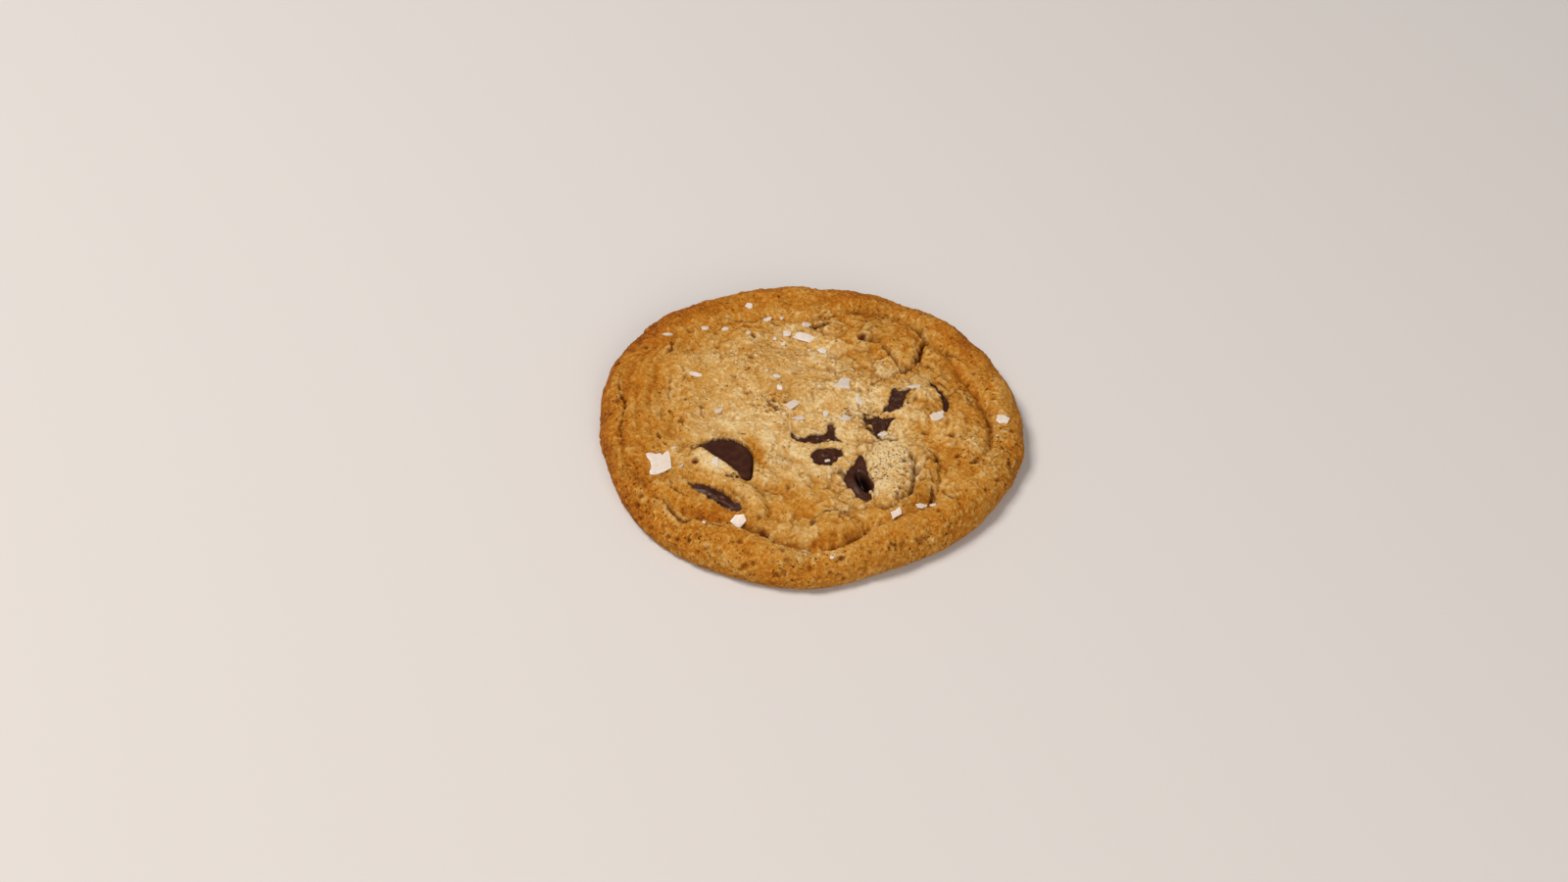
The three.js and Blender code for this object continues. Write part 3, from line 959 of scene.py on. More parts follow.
    def crumble(self, skin: Skin, relief: Relief) -> None:
        """Breaks the crust into plates and grains.

        Args:
            skin: the smooth skin.
            relief: the relief, which is changed.
        """
        radius = np.hypot(skin.x, skin.y)
        angle = np.arctan2(skin.y, skin.x)
        crease = CREASE.at(angle)
        inner = smooth(-1.5, 2.0, crease - radius)
        fray = np.stack([layer.at(skin.place) for layer in self.frays], axis=1)
        around = np.stack([np.hypot(*skin.spread.T), angle * 15.0], axis=1)
        patchy = smooth(-0.25, 0.45, self.broken_areas.at(skin.place))
        left = smooth(4.0, -16.0, skin.x)
        whole = np.clip(1.0 - over_patches(SMOOTH, skin), 0.0, 1.0)
        self.fold(skin, relief, around, inner, whole)
        seam = self.crease_share.at(angle) * bell((crease - radius + 0.5 * fray[:, 0]) / self.seam_width)
        relief.outward -= self.seam_depth * seam * patchy
        # Painted shade along the seam inside the crease.
        relief.darken(self.seam_shade * np.clip(seam, 0.0, 1.0) * patchy)
        for plates, spots, share in (
            (self.coarse, skin.spread + 1.3 * fray, inner * whole * (1.0 - 0.75 * left)),
            (self.long, around + 1.0 * fray, 0.4 * inner * whole * left),
            (self.fine, skin.spread + 0.35 * fray, 0.5 + 0.4 * whole),
        ):
            lift, gaps = plates.lay(spots)
            relief.outward += share * (lift - plates.gap * gaps * patchy)
            # Painted shade in the gaps between plates, and painted light and shade on the plates: paler where
            # they stand up, browner where they sink.
            relief.darken(share * gaps * patchy * min(1.0, plates.gap))
            relief.browning_light_and_shade -= self.plate_light_and_shade * share * lift
        sandy = 0.5 + 0.5 * np.clip(relief.speckled, 0.0, 1.0)
        grain = sandy * (np.abs(self.sand.at(skin.place)) - 0.3)
        crumbs = over_patches(CRUMBLY, skin)
        relief.outward += (self.sand_height + self.crumb_height * crumbs) * grain
        relief.browning_light_and_shade -= self.sand_browning * grain
        relief.outward *= smooth(1.0, 0.95, skin.share)

    def fold(
        self, skin: Skin, relief: Relief, around: np.ndarray, inner: np.ndarray, whole: np.ndarray
    ) -> None:
        """Wrinkles the top into rounded folds with sharp valleys between them.

        Args:
            skin: the smooth skin.
            relief: the relief, which is changed.
            around: each point's distance outwards and round the rim, in mm.
            inner: 1 inside the crease and 0 on the rim.
            whole: 0 where the crust stayed smooth and 1 elsewhere.
        """
        slant = math.radians(self.fold_slant)
        along = skin.x * math.cos(slant) + skin.y * math.sin(slant)
        across = skin.y * math.cos(slant) - skin.x * math.sin(slant)
        flat = np.zeros(len(along))
        slanted = self.slanted_folds.at(np.stack([along / self.fold_length, across, flat], axis=1))
        round_rim = self.round_folds.at(np.stack([around[:, 0], around[:, 1], flat], axis=1))
        share = smooth(20.0, 30.0, np.hypot(skin.x - 4.0, skin.y))
        waves = slanted * (1.0 - share) + round_rim * share
        area = 0.6 + 0.4 * smooth(-0.3, 0.3, self.fold_areas.at(skin.place))
        depth = (0.25 + 0.75 * inner) * area
        depth *= 0.3 + 0.7 * whole
        relief.outward += self.fold_height * depth * (np.minimum(np.abs(waves), 0.8) - 0.3)
        valleys = depth * bell(waves / self.valley)
        # Painted shade in the valleys between folds.
        relief.darken(self.valley_shade * valleys * inner)
        relief.browning_light_and_shade += self.valley_browning * depth * bell(waves / 0.2)

    def crack(self, skin: Skin, relief: Relief) -> None:
        """Cuts the cracks and burnt spots that are set one by one.

        Args:
            skin: the smooth skin.
            relief: the relief, which is changed.
        """
        ragged = self.ragged.at(skin.place)
        wander = layered(self.wander, skin.place)
        x, y = skin.spread.T
        for crack in CRACKS:
            away, along = distance_to_line(x + wander, y - wander, crack.line)
            taper = np.sqrt(np.sin(np.clip(along, 0.02, 0.98) * math.pi))
            reach = 0.6 * crack.width * taper * np.clip(1.0 + 1.1 * ragged, 0.45, None)
            near = away < 5.0 * crack.width
            groove = np.where(near, bell(away / reach), 0.0)
            lip = np.where(near, bell((away - 2.0 * reach) / (reach + 0.25)), 0.0)
            relief.outward += crack.depth * taper * (self.lip_height * lip - groove)
            # Painted shade in the groove, and a painted highlight on its raised lips.
            relief.darken(groove * taper * min(1.0, 1.3 * crack.depth))
            relief.browning_light_and_shade -= self.lip_highlight * lip * taper
        for pit in PITS:
            # The share of raggedness is kept above 0, because a pit would otherwise cover the skin.
            away = np.hypot(x - pit.x, y - pit.y) * np.clip(1.0 + 0.6 * ragged, 0.5, None)
            spot = smooth(pit.size, 0.3 * pit.size, away)
            relief.outward -= pit.depth * spot
            # Painted shade for a hole, and the dark of a burnt spot.
            relief.darken(min(1.0, 0.3 + 0.8 * pit.depth) * spot)

    def pierce(self, skin: Skin, relief: Relief) -> None:
        """Adds the pores that bubbles left, most of them where the skin is speckled.

        Args:
            skin: the smooth skin.
            relief: the relief, which is changed.
        """
        draw = random.Random(11)
        tree = kdtree.KDTree(len(skin.place))
        for index, point in enumerate(skin.place):
            tree.insert(point, index)
        tree.balance()
        made = 0
        while made < self.pores:
            at = draw.randrange(len(skin.place))
            if draw.random() > relief.speckled[at]:
                continue
            made += 1
            size = self.least_pore + self.pore_range * draw.random() ** 4
            depth = size * draw.uniform(0.3, 1.2)
            for _, index, away in tree.find_range(skin.place[at], 2.2 * size):
                spot = math.exp(-((away / size) ** 2))
                relief.outward[index] -= depth * spot
                # Painted shade in the pore.
                relief.shade_and_burn[index] = max(relief.shade_and_burn[index], spot * min(0.8, depth / 0.6))

    def shade_hollows(self, relief: Relief, pairs: np.ndarray) -> None:
        """Paints shade where the skin lies lower than the skin round it, and paints light on its ridges.

        Args:
            relief: the relief, which is changed.
            pairs: the numbers of the two points of each edge.
        """
        rise = relief.outward + relief.upward
        count = len(rise)
        joined = np.bincount(pairs.ravel(), minlength=count)
        level = rise
        for _ in range(self.hollow_rounds):
            total = np.bincount(pairs[:, 0], level[pairs[:, 1]], count)
            total += np.bincount(pairs[:, 1], level[pairs[:, 0]], count)
            level = 0.5 * level + 0.5 * total / joined
        low = level - rise
        # Painted shade in the hollows, and browner hollows with paler ridges as painted light and shade.
        relief.darken(np.clip(self.hollow_shade * (low - self.hollow_start), 0.0, self.darkest_hollow))
        relief.browning_light_and_shade += self.relief_light_and_shade * np.clip(low, -self.light_and_shade_depth, self.light_and_shade_depth)

    def open_for_chocolate(self, skin: Skin, relief: Relief) -> None:
        """Lowers the skin under the pieces of chocolate and smears it round them.

        Args:
            skin: the smooth skin.
            relief: the relief, which is changed.
        """
        warp = self.melt.at(skin.place)
        for piece in CHOCOLATES.values():
            deep = depth_inside(skin.x, skin.y, rounded(piece.outline)) + piece.fray * warp
            inside = smooth(-0.05, 0.35, deep)
            relief.upward -= piece.pan * inside
            relief.upward += self.melt_lip * bell((deep + 1.0) / 0.8)
            relief.outward *= 1.0 - inside
            relief.cocoa = np.maximum(relief.cocoa, smooth(-0.28, 0.12, deep))
        for smear in SMEARS:
            blot = smear.at(skin.x + 1.2 * warp, skin.y - 1.2 * warp)
            relief.cocoa = np.maximum(relief.cocoa, np.clip(1.6 * blot, 0.0, 1.0))

    def brown(self, skin: Skin) -> np.ndarray:
        """How deeply each point is browned, from 0 to 1, with a painted highlight along the rim's crest.

        Args:
            skin: the smooth skin.

        Returns:
            The browning.
        """
        x, y = skin.x, skin.y
        crease = CREASE.at(np.arctan2(y, x))
        pale = np.hypot((x + 2.0) / 38.0, (y - 0.5) / 37.0)
        base = self.palest + self.outer_browning * smooth(0.45, 1.1, pale)
        beyond = np.hypot(x, y) - crease
        rim = self.rim_browning * smooth(-1.0, 4.5, beyond)
        rim += self.crease_browning * bell((beyond + 0.8) / 1.4)
        # A painted highlight along the rim's crest.
        rim -= self.crest_highlight * bell((beyond - 2.2) / 1.5)
        clouds = layered(self.browning_clouds, skin.place)
        return base + rim + clouds + over_patches(TANS, skin)

    def build(self, look: bpy.types.Material) -> bpy.types.Object:
        """Makes the dough's piece.

        Args:
            look: the dough's material.

        Returns:
            The piece, in metres.
        """
        bm = bmesh.new()
        bmesh.ops.create_circle(bm, cap_ends=True, cap_tris=True, segments=6, radius=1.0)
        bmesh.ops.subdivide_edges(bm, edges=bm.edges[:], cuts=self.rings - 1, use_grid_fill=True)
        skin = self.lay(np.array([vert.co[:2] for vert in bm.verts]))
        pairs = np.array([[vert.index for vert in edge.verts] for edge in bm.edges])
        relief = self.knead(skin, pairs)
        above = smooth(0.5, 4.0, skin.place[:, 2]) * smooth(0.0, 0.6, skin.outward[:, 2])
        place = skin.place + skin.outward * relief.outward[:, None]
        place[:, 2] = np.clip(place[:, 2] + relief.upward * above, 0.0, None)
        self.store(bm, skin, relief, place)
        self.close_foot(bm)
        return make_piece("dough_skin", bm, look)

    def store(self, bm: bmesh.types.BMesh, skin: Skin, relief: Relief, place: np.ndarray) -> None:
        """Puts the points in their places and keeps their tones and their spots on the map.

        Args:
            bm: the mesh.
            skin: the smooth skin.
            relief: the relief.
            place: one row of x, y and z in mm for each point.
        """
        for name in TONES:
            layer = bm.verts.layers.float.new(name)
            values = np.clip(getattr(relief, name), 0.0, 1.0)
            for vert, value in zip(bm.verts, values.tolist()):
                vert[layer] = value
        turn = np.arctan2(skin.y, skin.x)
        spots = np.stack([skin.share * np.cos(turn), skin.share * np.sin(turn)], axis=1)
        spots = self.top_map[0] + self.top_map[1] * spots
        for vert, spot in zip(bm.verts, place * MM):
            vert.co = spot
        unwrapped = bm.loops.layers.uv.new(MAP)
        for face in bm.faces:
            for loop in face.loops:
                loop[unwrapped].uv = spots[loop.vert.index]

    def close_foot(self, bm: bmesh.types.BMesh) -> None:
        """Closes the flat underside with rings of faces that shrink to one point.

        Args:
            bm: the mesh, whose open edge is the foot.
        """
        unwrapped = bm.loops.layers.uv[MAP]
        browning_light_and_shade = bm.verts.layers.float["browning_light_and_shade"]
        draw = random.Random(5)
        edges = [edge for edge in bm.edges if edge.is_boundary]
        middle, reach = self.foot_map
        for ring in range(self.foot_rings):
            made = bmesh.ops.extrude_edge_only(bm, edges=edges)["geom"]
            verts = [item for item in made if isinstance(item, bmesh.types.BMVert)]
            edges = [item for item in made if isinstance(item, bmesh.types.BMEdge) and item.is_boundary]
            before = self.foot_rings - ring
            shrink = (before - 1) / before
            for vert in verts:
                vert.co.x *= shrink
                vert.co.y *= shrink
                vert.co.z = 0.0
            for face in (item for item in made if isinstance(item, bmesh.types.BMFace)):
                for loop in face.loops:
                    spot = loop.vert.co.xy / (self.curl * MM + 0.052)
                    loop[unwrapped].uv = (middle + reach * spot.x, middle + reach * spot.y)
            for vert in verts:
                vert[browning_light_and_shade] = self.foot_browning + 0.1 * draw.random()
        bmesh.ops.remove_doubles(bm, verts=bm.verts[:], dist=0.000001)
        bmesh.ops.recalc_face_normals(bm, faces=bm.faces[:])


def make_piece(name: str, bm: bmesh.types.BMesh, look: bpy.types.Material) -> bpy.types.Object:
    """Turns a bmesh in metres into a smooth piece of the scene.

    Args:
        name: the piece's name.
        bm: the mesh, which is freed.
        look: its material.

    Returns:
        The new object.
    """
    mesh = bpy.data.meshes.new(name)
    bm.to_mesh(mesh)
    bm.free()
    mesh.materials.append(look)
    mesh.shade_smooth()
    piece = bpy.data.objects.new(name, mesh)
    bpy.context.scene.collection.objects.link(piece)
    return piece


# ---------------------------------------------------------------------------------------------
# Salt
# ---------------------------------------------------------------------------------------------


@dataclass(frozen=True)
class Flake:
    """A flake of sea salt: its middle, its size, how it is turned, and how clear it is."""

    x: float
    y: float
    long: float
    wide: float
    turn: float = 0.0
    clear: float = 0.0
    corners: tuple[Place, ...] = ()

    def outline(self, draw: random.Random) -> list[Place]:
        """The flake's corners as seen from above.

        Args:
            draw: gives the random shape of a flake whose corners aren't set.

        Returns:
            The corners in mm, anticlockwise.
        """
        if self.corners:
            return list(self.corners)
        count = draw.choice((4, 5, 5, 6))
        lean = math.radians(self.turn)
        outline = []
        for step in range(count):
            angle = math.tau * (step + draw.uniform(-0.25, 0.25)) / count + 0.6
            reach = draw.uniform(0.85, 1.2)
            along = 0.55 * self.long * reach * math.cos(angle)
            across = 0.55 * self.wide * reach * math.sin(angle)
            outline.append(
                (
                    self.x + along * math.cos(lean) - across * math.sin(lean),
                    self.y + along * math.sin(lean) + across * math.cos(lean),
                )
            )
        return outline

    def ragged(self, draw: random.Random) -> list[Place]:
        """The outline with each long side broken into two uneven ones."""
        outline = self.outline(draw)
        if self.corners:
            return outline
        broken = []
        for (ax, ay), (bx, by) in zip(outline, [*outline[1:], outline[0]]):
            broken.append((ax, ay))
            length = math.hypot(bx - ax, by - ay)
            if length > 0.9:
                share = draw.uniform(0.3, 0.7)
                shift = draw.uniform(-0.10, 0.10) * length
                broken.append(
                    (
                        ax + share * (bx - ax) + shift * (by - ay) / length,
                        ay + share * (by - ay) - shift * (bx - ax) / length,
                    )
                )
        return broken


FLAKES = (
    Flake(
        -36.5,
        -18.5,
        6.0,
        7.0,
        corners=(
            (-39.5, -15.8), (-39.3, -16.8), (-38.5, -17.9), (-38.0, -20.0), (-38.4, -21.5),
            (-38.2, -22.4), (-36.7, -22.5), (-35.0, -21.7), (-33.2, -20.5), (-33.4, -18.7),
            (-33.9, -15.8), (-34.4, -14.9), (-35.7, -16.4), (-36.1, -15.7), (-37.0, -16.0),
            (-38.8, -15.4),
        ),
    ),
    Flake(
        -17.0,
        -36.0,
        3.5,
        3.0,
        corners=((-18.8, -36.0), (-16.8, -38.0), (-15.0, -36.2), (-15.6, -34.8), (-17.7, -34.8)),
    ),
    Flake(
        7.2,
        10.2,
        4.0,
        4.5,
        corners=((4.9, 7.8), (9.1, 7.9), (9.0, 10.2), (9.1, 12.8), (6.9, 12.2), (6.4, 10.2)),
    ),
    Flake(
        -2.4,
        27.7,
        5.5,
        3.0,
        corners=(
            (-5.2, 27.6), (-3.0, 26.9), (-0.6, 25.9), (1.4, 26.3), (0.2, 27.9), (-1.6, 28.8),
            (-3.6, 29.4),
        ),
    ),
    *(Flake(*row) for row in (
        (-16.3, 39.5, 2.0, 2.3), (-11.7, 35.0, 3.3, 1.5, 50), (-8.0, 36.0, 0.9, 0.8),
        (-27.3, 31.0, 1.9, 1.8, 0, 0.3), (-22.0, 30.5, 1.7, 1.5, 0, 0.5),
        (-16.2, 29.0, 1.2, 1.7, 0, 0.2), (-1.8, 33.0, 2.3, 1.8, 30, 0.3),
        (-6.5, 29.0, 2.4, 2.2, 20, 0.15), (-7.5, 25.2, 1.0, 1.0, 0, 0.2),
        (-9.5, 27.0, 1.4, 0.9, 0, 0.4), (-1.0, 23.0, 0.9, 0.8, 0, 0.2), (-28.7, 12.8, 3.4, 1.3, -5),
        (-8.8, 12.0, 1.9, 1.5, 10), (-8.0, 7.5, 2.4, 1.3, -60), (-5.0, 1.5, 4.4, 2.4, 50, 0.45),
        (-22.8, -0.3, 2.3, 1.2, 50, 0.5), (-3.0, -2.7, 3.2, 1.2, 10, 0.7),
        (-36.5, 28.0, 2.5, 0.7, 5, 0.6), (2.3, 23.0, 2.3, 1.6, -30), (11.3, 3.8, 3.0, 1.3, 110, 0.2),
        (8.0, -2.5, 2.6, 2.4, 0, 0.4), (3.2, -1.0, 1.4, 2.2, 0, 0.2), (25.0, 7.9, 3.5, 1.3, 5, 0.5),
        (30.3, -1.2, 3.6, 2.6, 20, 0.45), (31.2, 0.0, 2.0, 1.4, 40, 0.1), (46.3, -0.3, 3.0, 2.6, -30),
        (24.0, 34.7, 1.1, 0.9, 0, 0.4), (19.8, -33.3, 3.6, 1.6, 32), (25.8, -31.2, 2.6, 1.3, 15, 0.3),
        (28.7, -30.3, 1.9, 1.0, 20, 0.3), (17.0, -7.4, 2.2, 1.6, 30, 0.1),
        (3.6, -17.3, 1.4, 1.0, 30, 0.2), (5.0, -46.2, 1.0, 0.9, 0, 0.2),
        (-1.0, -44.6, 2.0, 0.6, 5, 0.5), (-24.9, -37.3, 1.3, 1.1), (-22.8, -19.5, 1.9, 2.4, 10),
        (-33.0, -14.3, 1.4, 1.0, 30, 0.4), (-31.0, -19.8, 1.8, 0.6, 55, 0.7),
    )),
)


@dataclass
class Salt:
    """The flakes of salt on the top, joined in one piece."""

    thickness: float = 0.34
    sunk: float = 0.12
    crumple: float = 0.10
    crumple_size: float = 0.8
    tilt: float = 0.08
    stiffness: float = 0.04
    bevel: float = 0.07
    longest_edge: float = 0.8
    lid_clear: float = 0.45

    def seat(self, outline: Sequence[Place], ground: BVHTree) -> np.ndarray:
        """Finds the plane on which a flake lies.

        Args:
            outline: the flake's corners.
            ground: the surface of the dough and chocolate.

        Returns:
            The plane's slope along x and along y, and its height in mm at the corners' middle.
        """
        corners = np.array(outline)
        middle = corners.mean(axis=0)
        spots = np.concatenate([middle + share * (corners - middle) for share in (0.35, 0.7, 1.0)])
        heights = []
        for x, y in spots:
            spot = ground.ray_cast(Vector((x, y, 30.0)) * MM, Vector((0.0, 0.0, -1.0)))[0]
            heights.append(spot.z / MM)
        away = np.column_stack([spots - middle, np.ones(len(spots))])
        weight = self.stiffness * np.diag((len(spots), len(spots), 0.0))
        return np.linalg.solve(away.T @ away + weight, away.T @ np.array(heights))

    def add(self, bm: bmesh.types.BMesh, flake: Flake, ground: BVHTree, draw: random.Random) -> None:
        """Adds one flake, lying on the dough.

        Args:
            bm: the mesh that holds all flakes.
            flake: the flake.
            ground: the surface of the dough and chocolate.
            draw: gives its random shape and tilt.
        """
        clear = bm.verts.layers.float["clear"]
        outline = flake.ragged(draw)
        slope_x, slope_y, level = self.seat(outline, ground)
        slope_x += draw.uniform(-self.tilt, self.tilt)
        slope_y += draw.uniform(-self.tilt, self.tilt)
        level -= self.sunk
        normal = Vector((-slope_x, -slope_y, 1.0)).normalized()
        height = min(self.thickness, 0.3 * min(flake.long, flake.wide) + 0.12)
        made = bmesh.ops.create_circle(bm, cap_ends=True, segments=len(outline), radius=MM)["verts"]
        for vert, (x, y) in zip(made, reversed(outline)):
            away_x, away_y = x - flake.x, y - flake.y
            vert.co = Vector((x, y, level + slope_x * away_x + slope_y * away_y)) * MM
        face = next(iter(made[0].link_faces))
        face.normal_update()
        if face.normal.z > 0.0:
            face.normal_flip()
        grown = bmesh.ops.extrude_face_region(bm, geom=[face], use_keep_orig=True)["geom"]
        lid = [item for item in grown if isinstance(item, bmesh.types.BMVert)]
        bmesh.ops.translate(bm, verts=lid, vec=normal * (height + self.sunk) * MM)
        for vert in made + lid:
            vert[clear] = flake.clear
        top = next(item for item in grown if isinstance(item, bmesh.types.BMFace))
        rim = min(0.2 * min(flake.long, flake.wide), 0.4)
        bmesh.ops.inset_individual(bm, faces=[top], thickness=rim * MM, depth=-0.08 * height * MM)
        for vert in top.verts:
            vert[clear] = flake.clear + self.lid_clear

    def build(self, grounds: Sequence[bpy.types.Object], look: bpy.types.Material) -> bpy.types.Object:
        """Makes the salt's piece.

        Args:
            grounds: the pieces that the flakes lie on.
            look: the salt's material.

        Returns:
            The piece, in metres.
        """
        under = bmesh.new()
        for ground in grounds:
            under.from_mesh(ground.data)
        tree = BVHTree.FromBMesh(under)
        under.free()
        draw = random.Random(3)
        bm = bmesh.new()
        bm.verts.layers.float.new("clear")
        for flake in FLAKES:
            self.add(bm, flake, tree, draw)
        bmesh.ops.recalc_face_normals(bm, faces=bm.faces[:])
        bmesh.ops.bevel(
            bm,
            geom=bm.edges[:],
            offset=self.bevel * MM,
            affect="EDGES",
            segments=2,
            profile=0.5,
            material=-1,
        )
        bmesh.ops.triangulate(bm, faces=bm.faces[:])
        long_edges = [edge for edge in bm.edges if edge.calc_length() > self.longest_edge * MM]
        bmesh.ops.subdivide_edges(bm, edges=long_edges, cuts=2)
        bmesh.ops.triangulate(bm, faces=bm.faces[:])
        # This noise gives other values each time Blender starts, so the crumple isn't repeatable.
        for vert in bm.verts:
            vert.co += self.crumple * MM * noise.noise_vector(vert.co / (self.crumple_size * MM))
        return make_piece("salt_flakes", bm, look)


# ---------------------------------------------------------------------------------------------
# Materials
# ---------------------------------------------------------------------------------------------


def linear(colour: str) -> tuple[float, float, float, float]:
    """An sRGB colour such as "#c08040" as linear red, green, blue and alpha."""
    channels = [int(colour[i : i + 2], 16) / 255.0 for i in (1, 3, 5)]
    red, green, blue = (c / 12.92 if c <= 0.04045 else ((c + 0.055) / 1.055) ** 2.4 for c in channels)
    return red, green, blue, 1.0


def grain_scale(size: float) -> float:
    """The Scale of a noise or cell pattern on Object coordinates whose bumps are size mm wide."""
    return 1.0 / (size * MM)


# Settings that several nodes share.
TIMES_PLUS = {"operation": "MULTIPLY_ADD"}
MIXED = {"data_type": "RGBA", "blend_type": "MIX"}
DARKENED = {"data_type": "RGBA", "blend_type": "MULTIPLY"}


@dataclass
class Recipe:
    """The nodes of one material, from its pattern to its surface."""

    material: bpy.types.Material
    surface: bpy.types.Node

    def add(self, kind: str, settings: dict[str, Any] | None = None, **inputs: Any) -> bpy.types.Node:
        """Adds a node.

        Args:
            kind: the node's type without its ShaderNode prefix.
            settings: the node's own properties.
            inputs: a value or another node's output for each input, by its name with _ for a
                space, or by an i and its number.

        Returns:
            The new node.
        """
        tree = self.material.node_tree
        node = tree.nodes.new("ShaderNode" + kind)
        for name, value in (settings or {}).items():
            setattr(node, name, value)
        for name, value in inputs.items():
            key = int(name[1:]) if name[1:].isdigit() else name.replace("_", " ")
            if isinstance(value, bpy.types.NodeSocket):
                tree.links.new(value, node.inputs[key])
            else:
                node.inputs[key].default_value = value
        return node

    def finish(self, colour: bpy.types.NodeSocket, bump: bpy.types.Node, **looks: float) -> None:
        """Joins the colour and the bump to the surface and sets its other looks."""
        links = self.material.node_tree.links
        links.new(colour, self.surface.inputs["Base Color"])
        links.new(bump.outputs["Normal"], self.surface.inputs["Normal"])
        for name, value in looks.items():
            self.surface.inputs[name.replace("_", " ")].default_value = value


def new_recipe(name: str) -> Recipe:
    """Starts a material.

    Args:
        name: the material's name.

    Returns:
        The recipe, which has only a surface and an output so far.
    """
    material = bpy.data.materials.new(name)
    material.use_nodes = True
    nodes = material.node_tree.nodes
    nodes.clear()
    output = nodes.new("ShaderNodeOutputMaterial")
    surface = nodes.new("ShaderNodeBsdfPrincipled")
    material.node_tree.links.new(surface.outputs["BSDF"], output.inputs["Surface"])
    return Recipe(material, surface)


@dataclass(frozen=True)
class BakedDough:
    """A crumbly baked crust: matt, golden where it is pale and brown at the rim."""

    shades: tuple[tuple[float, str], ...] = (
        (0.0, "#ead09e"),
        (0.2, "#d9af6e"),
        (0.42, "#c99241"),
        (0.62, "#bb7722"),
        (0.82, "#a75f18"),
        (1.0, "#763b10"),
    )
    # The colour that the dark specks and the painted shade of hollows darken the crust towards.
    hollow: str = "#74452a"
    chocolate: str = "#3a1f15"
    mottled: float = 0.84
    clouded: float = 0.06
    paled: float = 0.49

    def make(self) -> bpy.types.Material:
        """Builds the material."""
        # Baked flour and sugar with no gloss. The crust is golden where it stood up and browner in its
        # hollows, which is painted light and painted shade.
        recipe = new_recipe("baked_dough")
        place = recipe.add("TexCoord").outputs["Object"]
        browning_light_and_shade, speckled, shade_and_burn, cocoa = (
            recipe.add("Attribute", {"attribute_name": name}).outputs["Fac"] for name in TONES
        )
        mottle = recipe.add("TexNoise", Vector=place, Scale=grain_scale(0.7), Detail=4.0, Roughness=0.8)
        clouds = recipe.add("TexNoise", Vector=place, Scale=grain_scale(3.6), Detail=3.0, Roughness=0.6)
        shade = recipe.add("Math", TIMES_PLUS, i0=mottle.outputs["Fac"], i1=self.mottled, i2=browning_light_and_shade)
        shade = recipe.add("Math", TIMES_PLUS, i0=clouds.outputs["Fac"], i1=self.clouded, i2=shade.outputs[0])
        shade = recipe.add("Math", {"operation": "SUBTRACT"}, i0=shade.outputs[0], i1=self.paled)
        ramp = recipe.add("ValToRGB", Fac=shade.outputs[0])
        stops = ramp.color_ramp.elements
        while len(stops) < len(self.shades):
            stops.new(0.5)
        for stop, (position, colour) in zip(stops, self.shades):
            stop.position = position
            stop.color = linear(colour)
        dots = recipe.add("TexNoise", Vector=place, Scale=grain_scale(0.62), Detail=1.5, Roughness=0.5)
        few = recipe.add("TexNoise", Vector=place, Scale=grain_scale(4.0), Detail=3.0, Roughness=0.65)
        level = recipe.add("Math", TIMES_PLUS, i0=speckled, i1=0.10, i2=dots.outputs["Fac"])
        level = recipe.add("Math", TIMES_PLUS, i0=few.outputs["Fac"], i1=0.30, i2=level.outputs[0])
        speck = recipe.add("MapRange", Value=level.outputs[0], i1=0.86, i2=0.90, i3=0.0, i4=0.8).outputs[0]
        # Dark specks, and painted shade in hollows, darken the crust towards the hollow colour.
        dark = recipe.add("Math", {"operation": "MAXIMUM"}, i0=speck, i1=shade_and_burn)
        specked_and_shaded = recipe.add(
            "Mix", DARKENED, i0=dark.outputs[0], i6=ramp.outputs["Color"], i7=linear(self.hollow)
        )
        colour = recipe.add("Mix", MIXED, i0=cocoa, i6=specked_and_shaded.outputs[2], i7=linear(self.chocolate))
        # Real grit is about 0.2 mm wide. It is drawn 0.75 mm wide, or it would not show.
        grit = recipe.add("TexNoise", Vector=place, Scale=grain_scale(0.75), Detail=4.0, Roughness=0.65)
        height = recipe.add("Math", {"operation": "SUBTRACT"}, i0=grit.outputs["Fac"], i1=speck)
        bump = recipe.add("Bump", Strength=1.0, Distance=1.0 * MM, Height=height.outputs[0])
        recipe.finish(colour.outputs[2], bump, Roughness=0.68, IOR=1.45, Specular_IOR_Level=0.08)
        return recipe.material


@dataclass(frozen=True)
class DarkChocolate:
    """Dark chocolate that melted and set: a soft gloss with a faint bloom."""

    name: str = "dark_chocolate"
    colour: str = "#34190f"
    bloom: str = "#452619"
    shade: str = "#0d0504"
    roughness: float = 0.42

    def make(self) -> bpy.types.Material:
        """Builds the material."""
        # Cocoa butter that set: a soft sheen and a faint bloom, with painted shade near black in its dents.
        recipe = new_recipe(self.name)
        place = recipe.add("TexCoord").outputs["Object"]
        clouds = recipe.add("TexNoise", Vector=place, Scale=grain_scale(2.0), Detail=4.0, Roughness=0.6)
        amount = recipe.add("MapRange", Value=clouds.outputs["Fac"], i1=0.46, i2=0.66, i3=0.0, i4=0.8)
        bloomed = recipe.add(
            "Mix", MIXED, i0=amount.outputs[0], i6=linear(self.colour), i7=linear(self.bloom)
        )
        hollow = recipe.add("Attribute", {"attribute_name": "hollow"}).outputs["Fac"]
        # Painted shade in the dents, near black where they are deepest.
        colour = recipe.add("Mix", MIXED, i0=hollow, i6=bloomed.outputs[2], i7=linear(self.shade))
        fine = recipe.add("TexNoise", Vector=place, Scale=grain_scale(0.7), Detail=3.0, Roughness=0.6)
        bump = recipe.add("Bump", Strength=0.15, Distance=0.2 * MM, Height=fine.outputs["Fac"])
        recipe.finish(
            colour.outputs[2], bump, Roughness=self.roughness, IOR=1.45, Specular_IOR_Level=0.14
        )
        return recipe.material


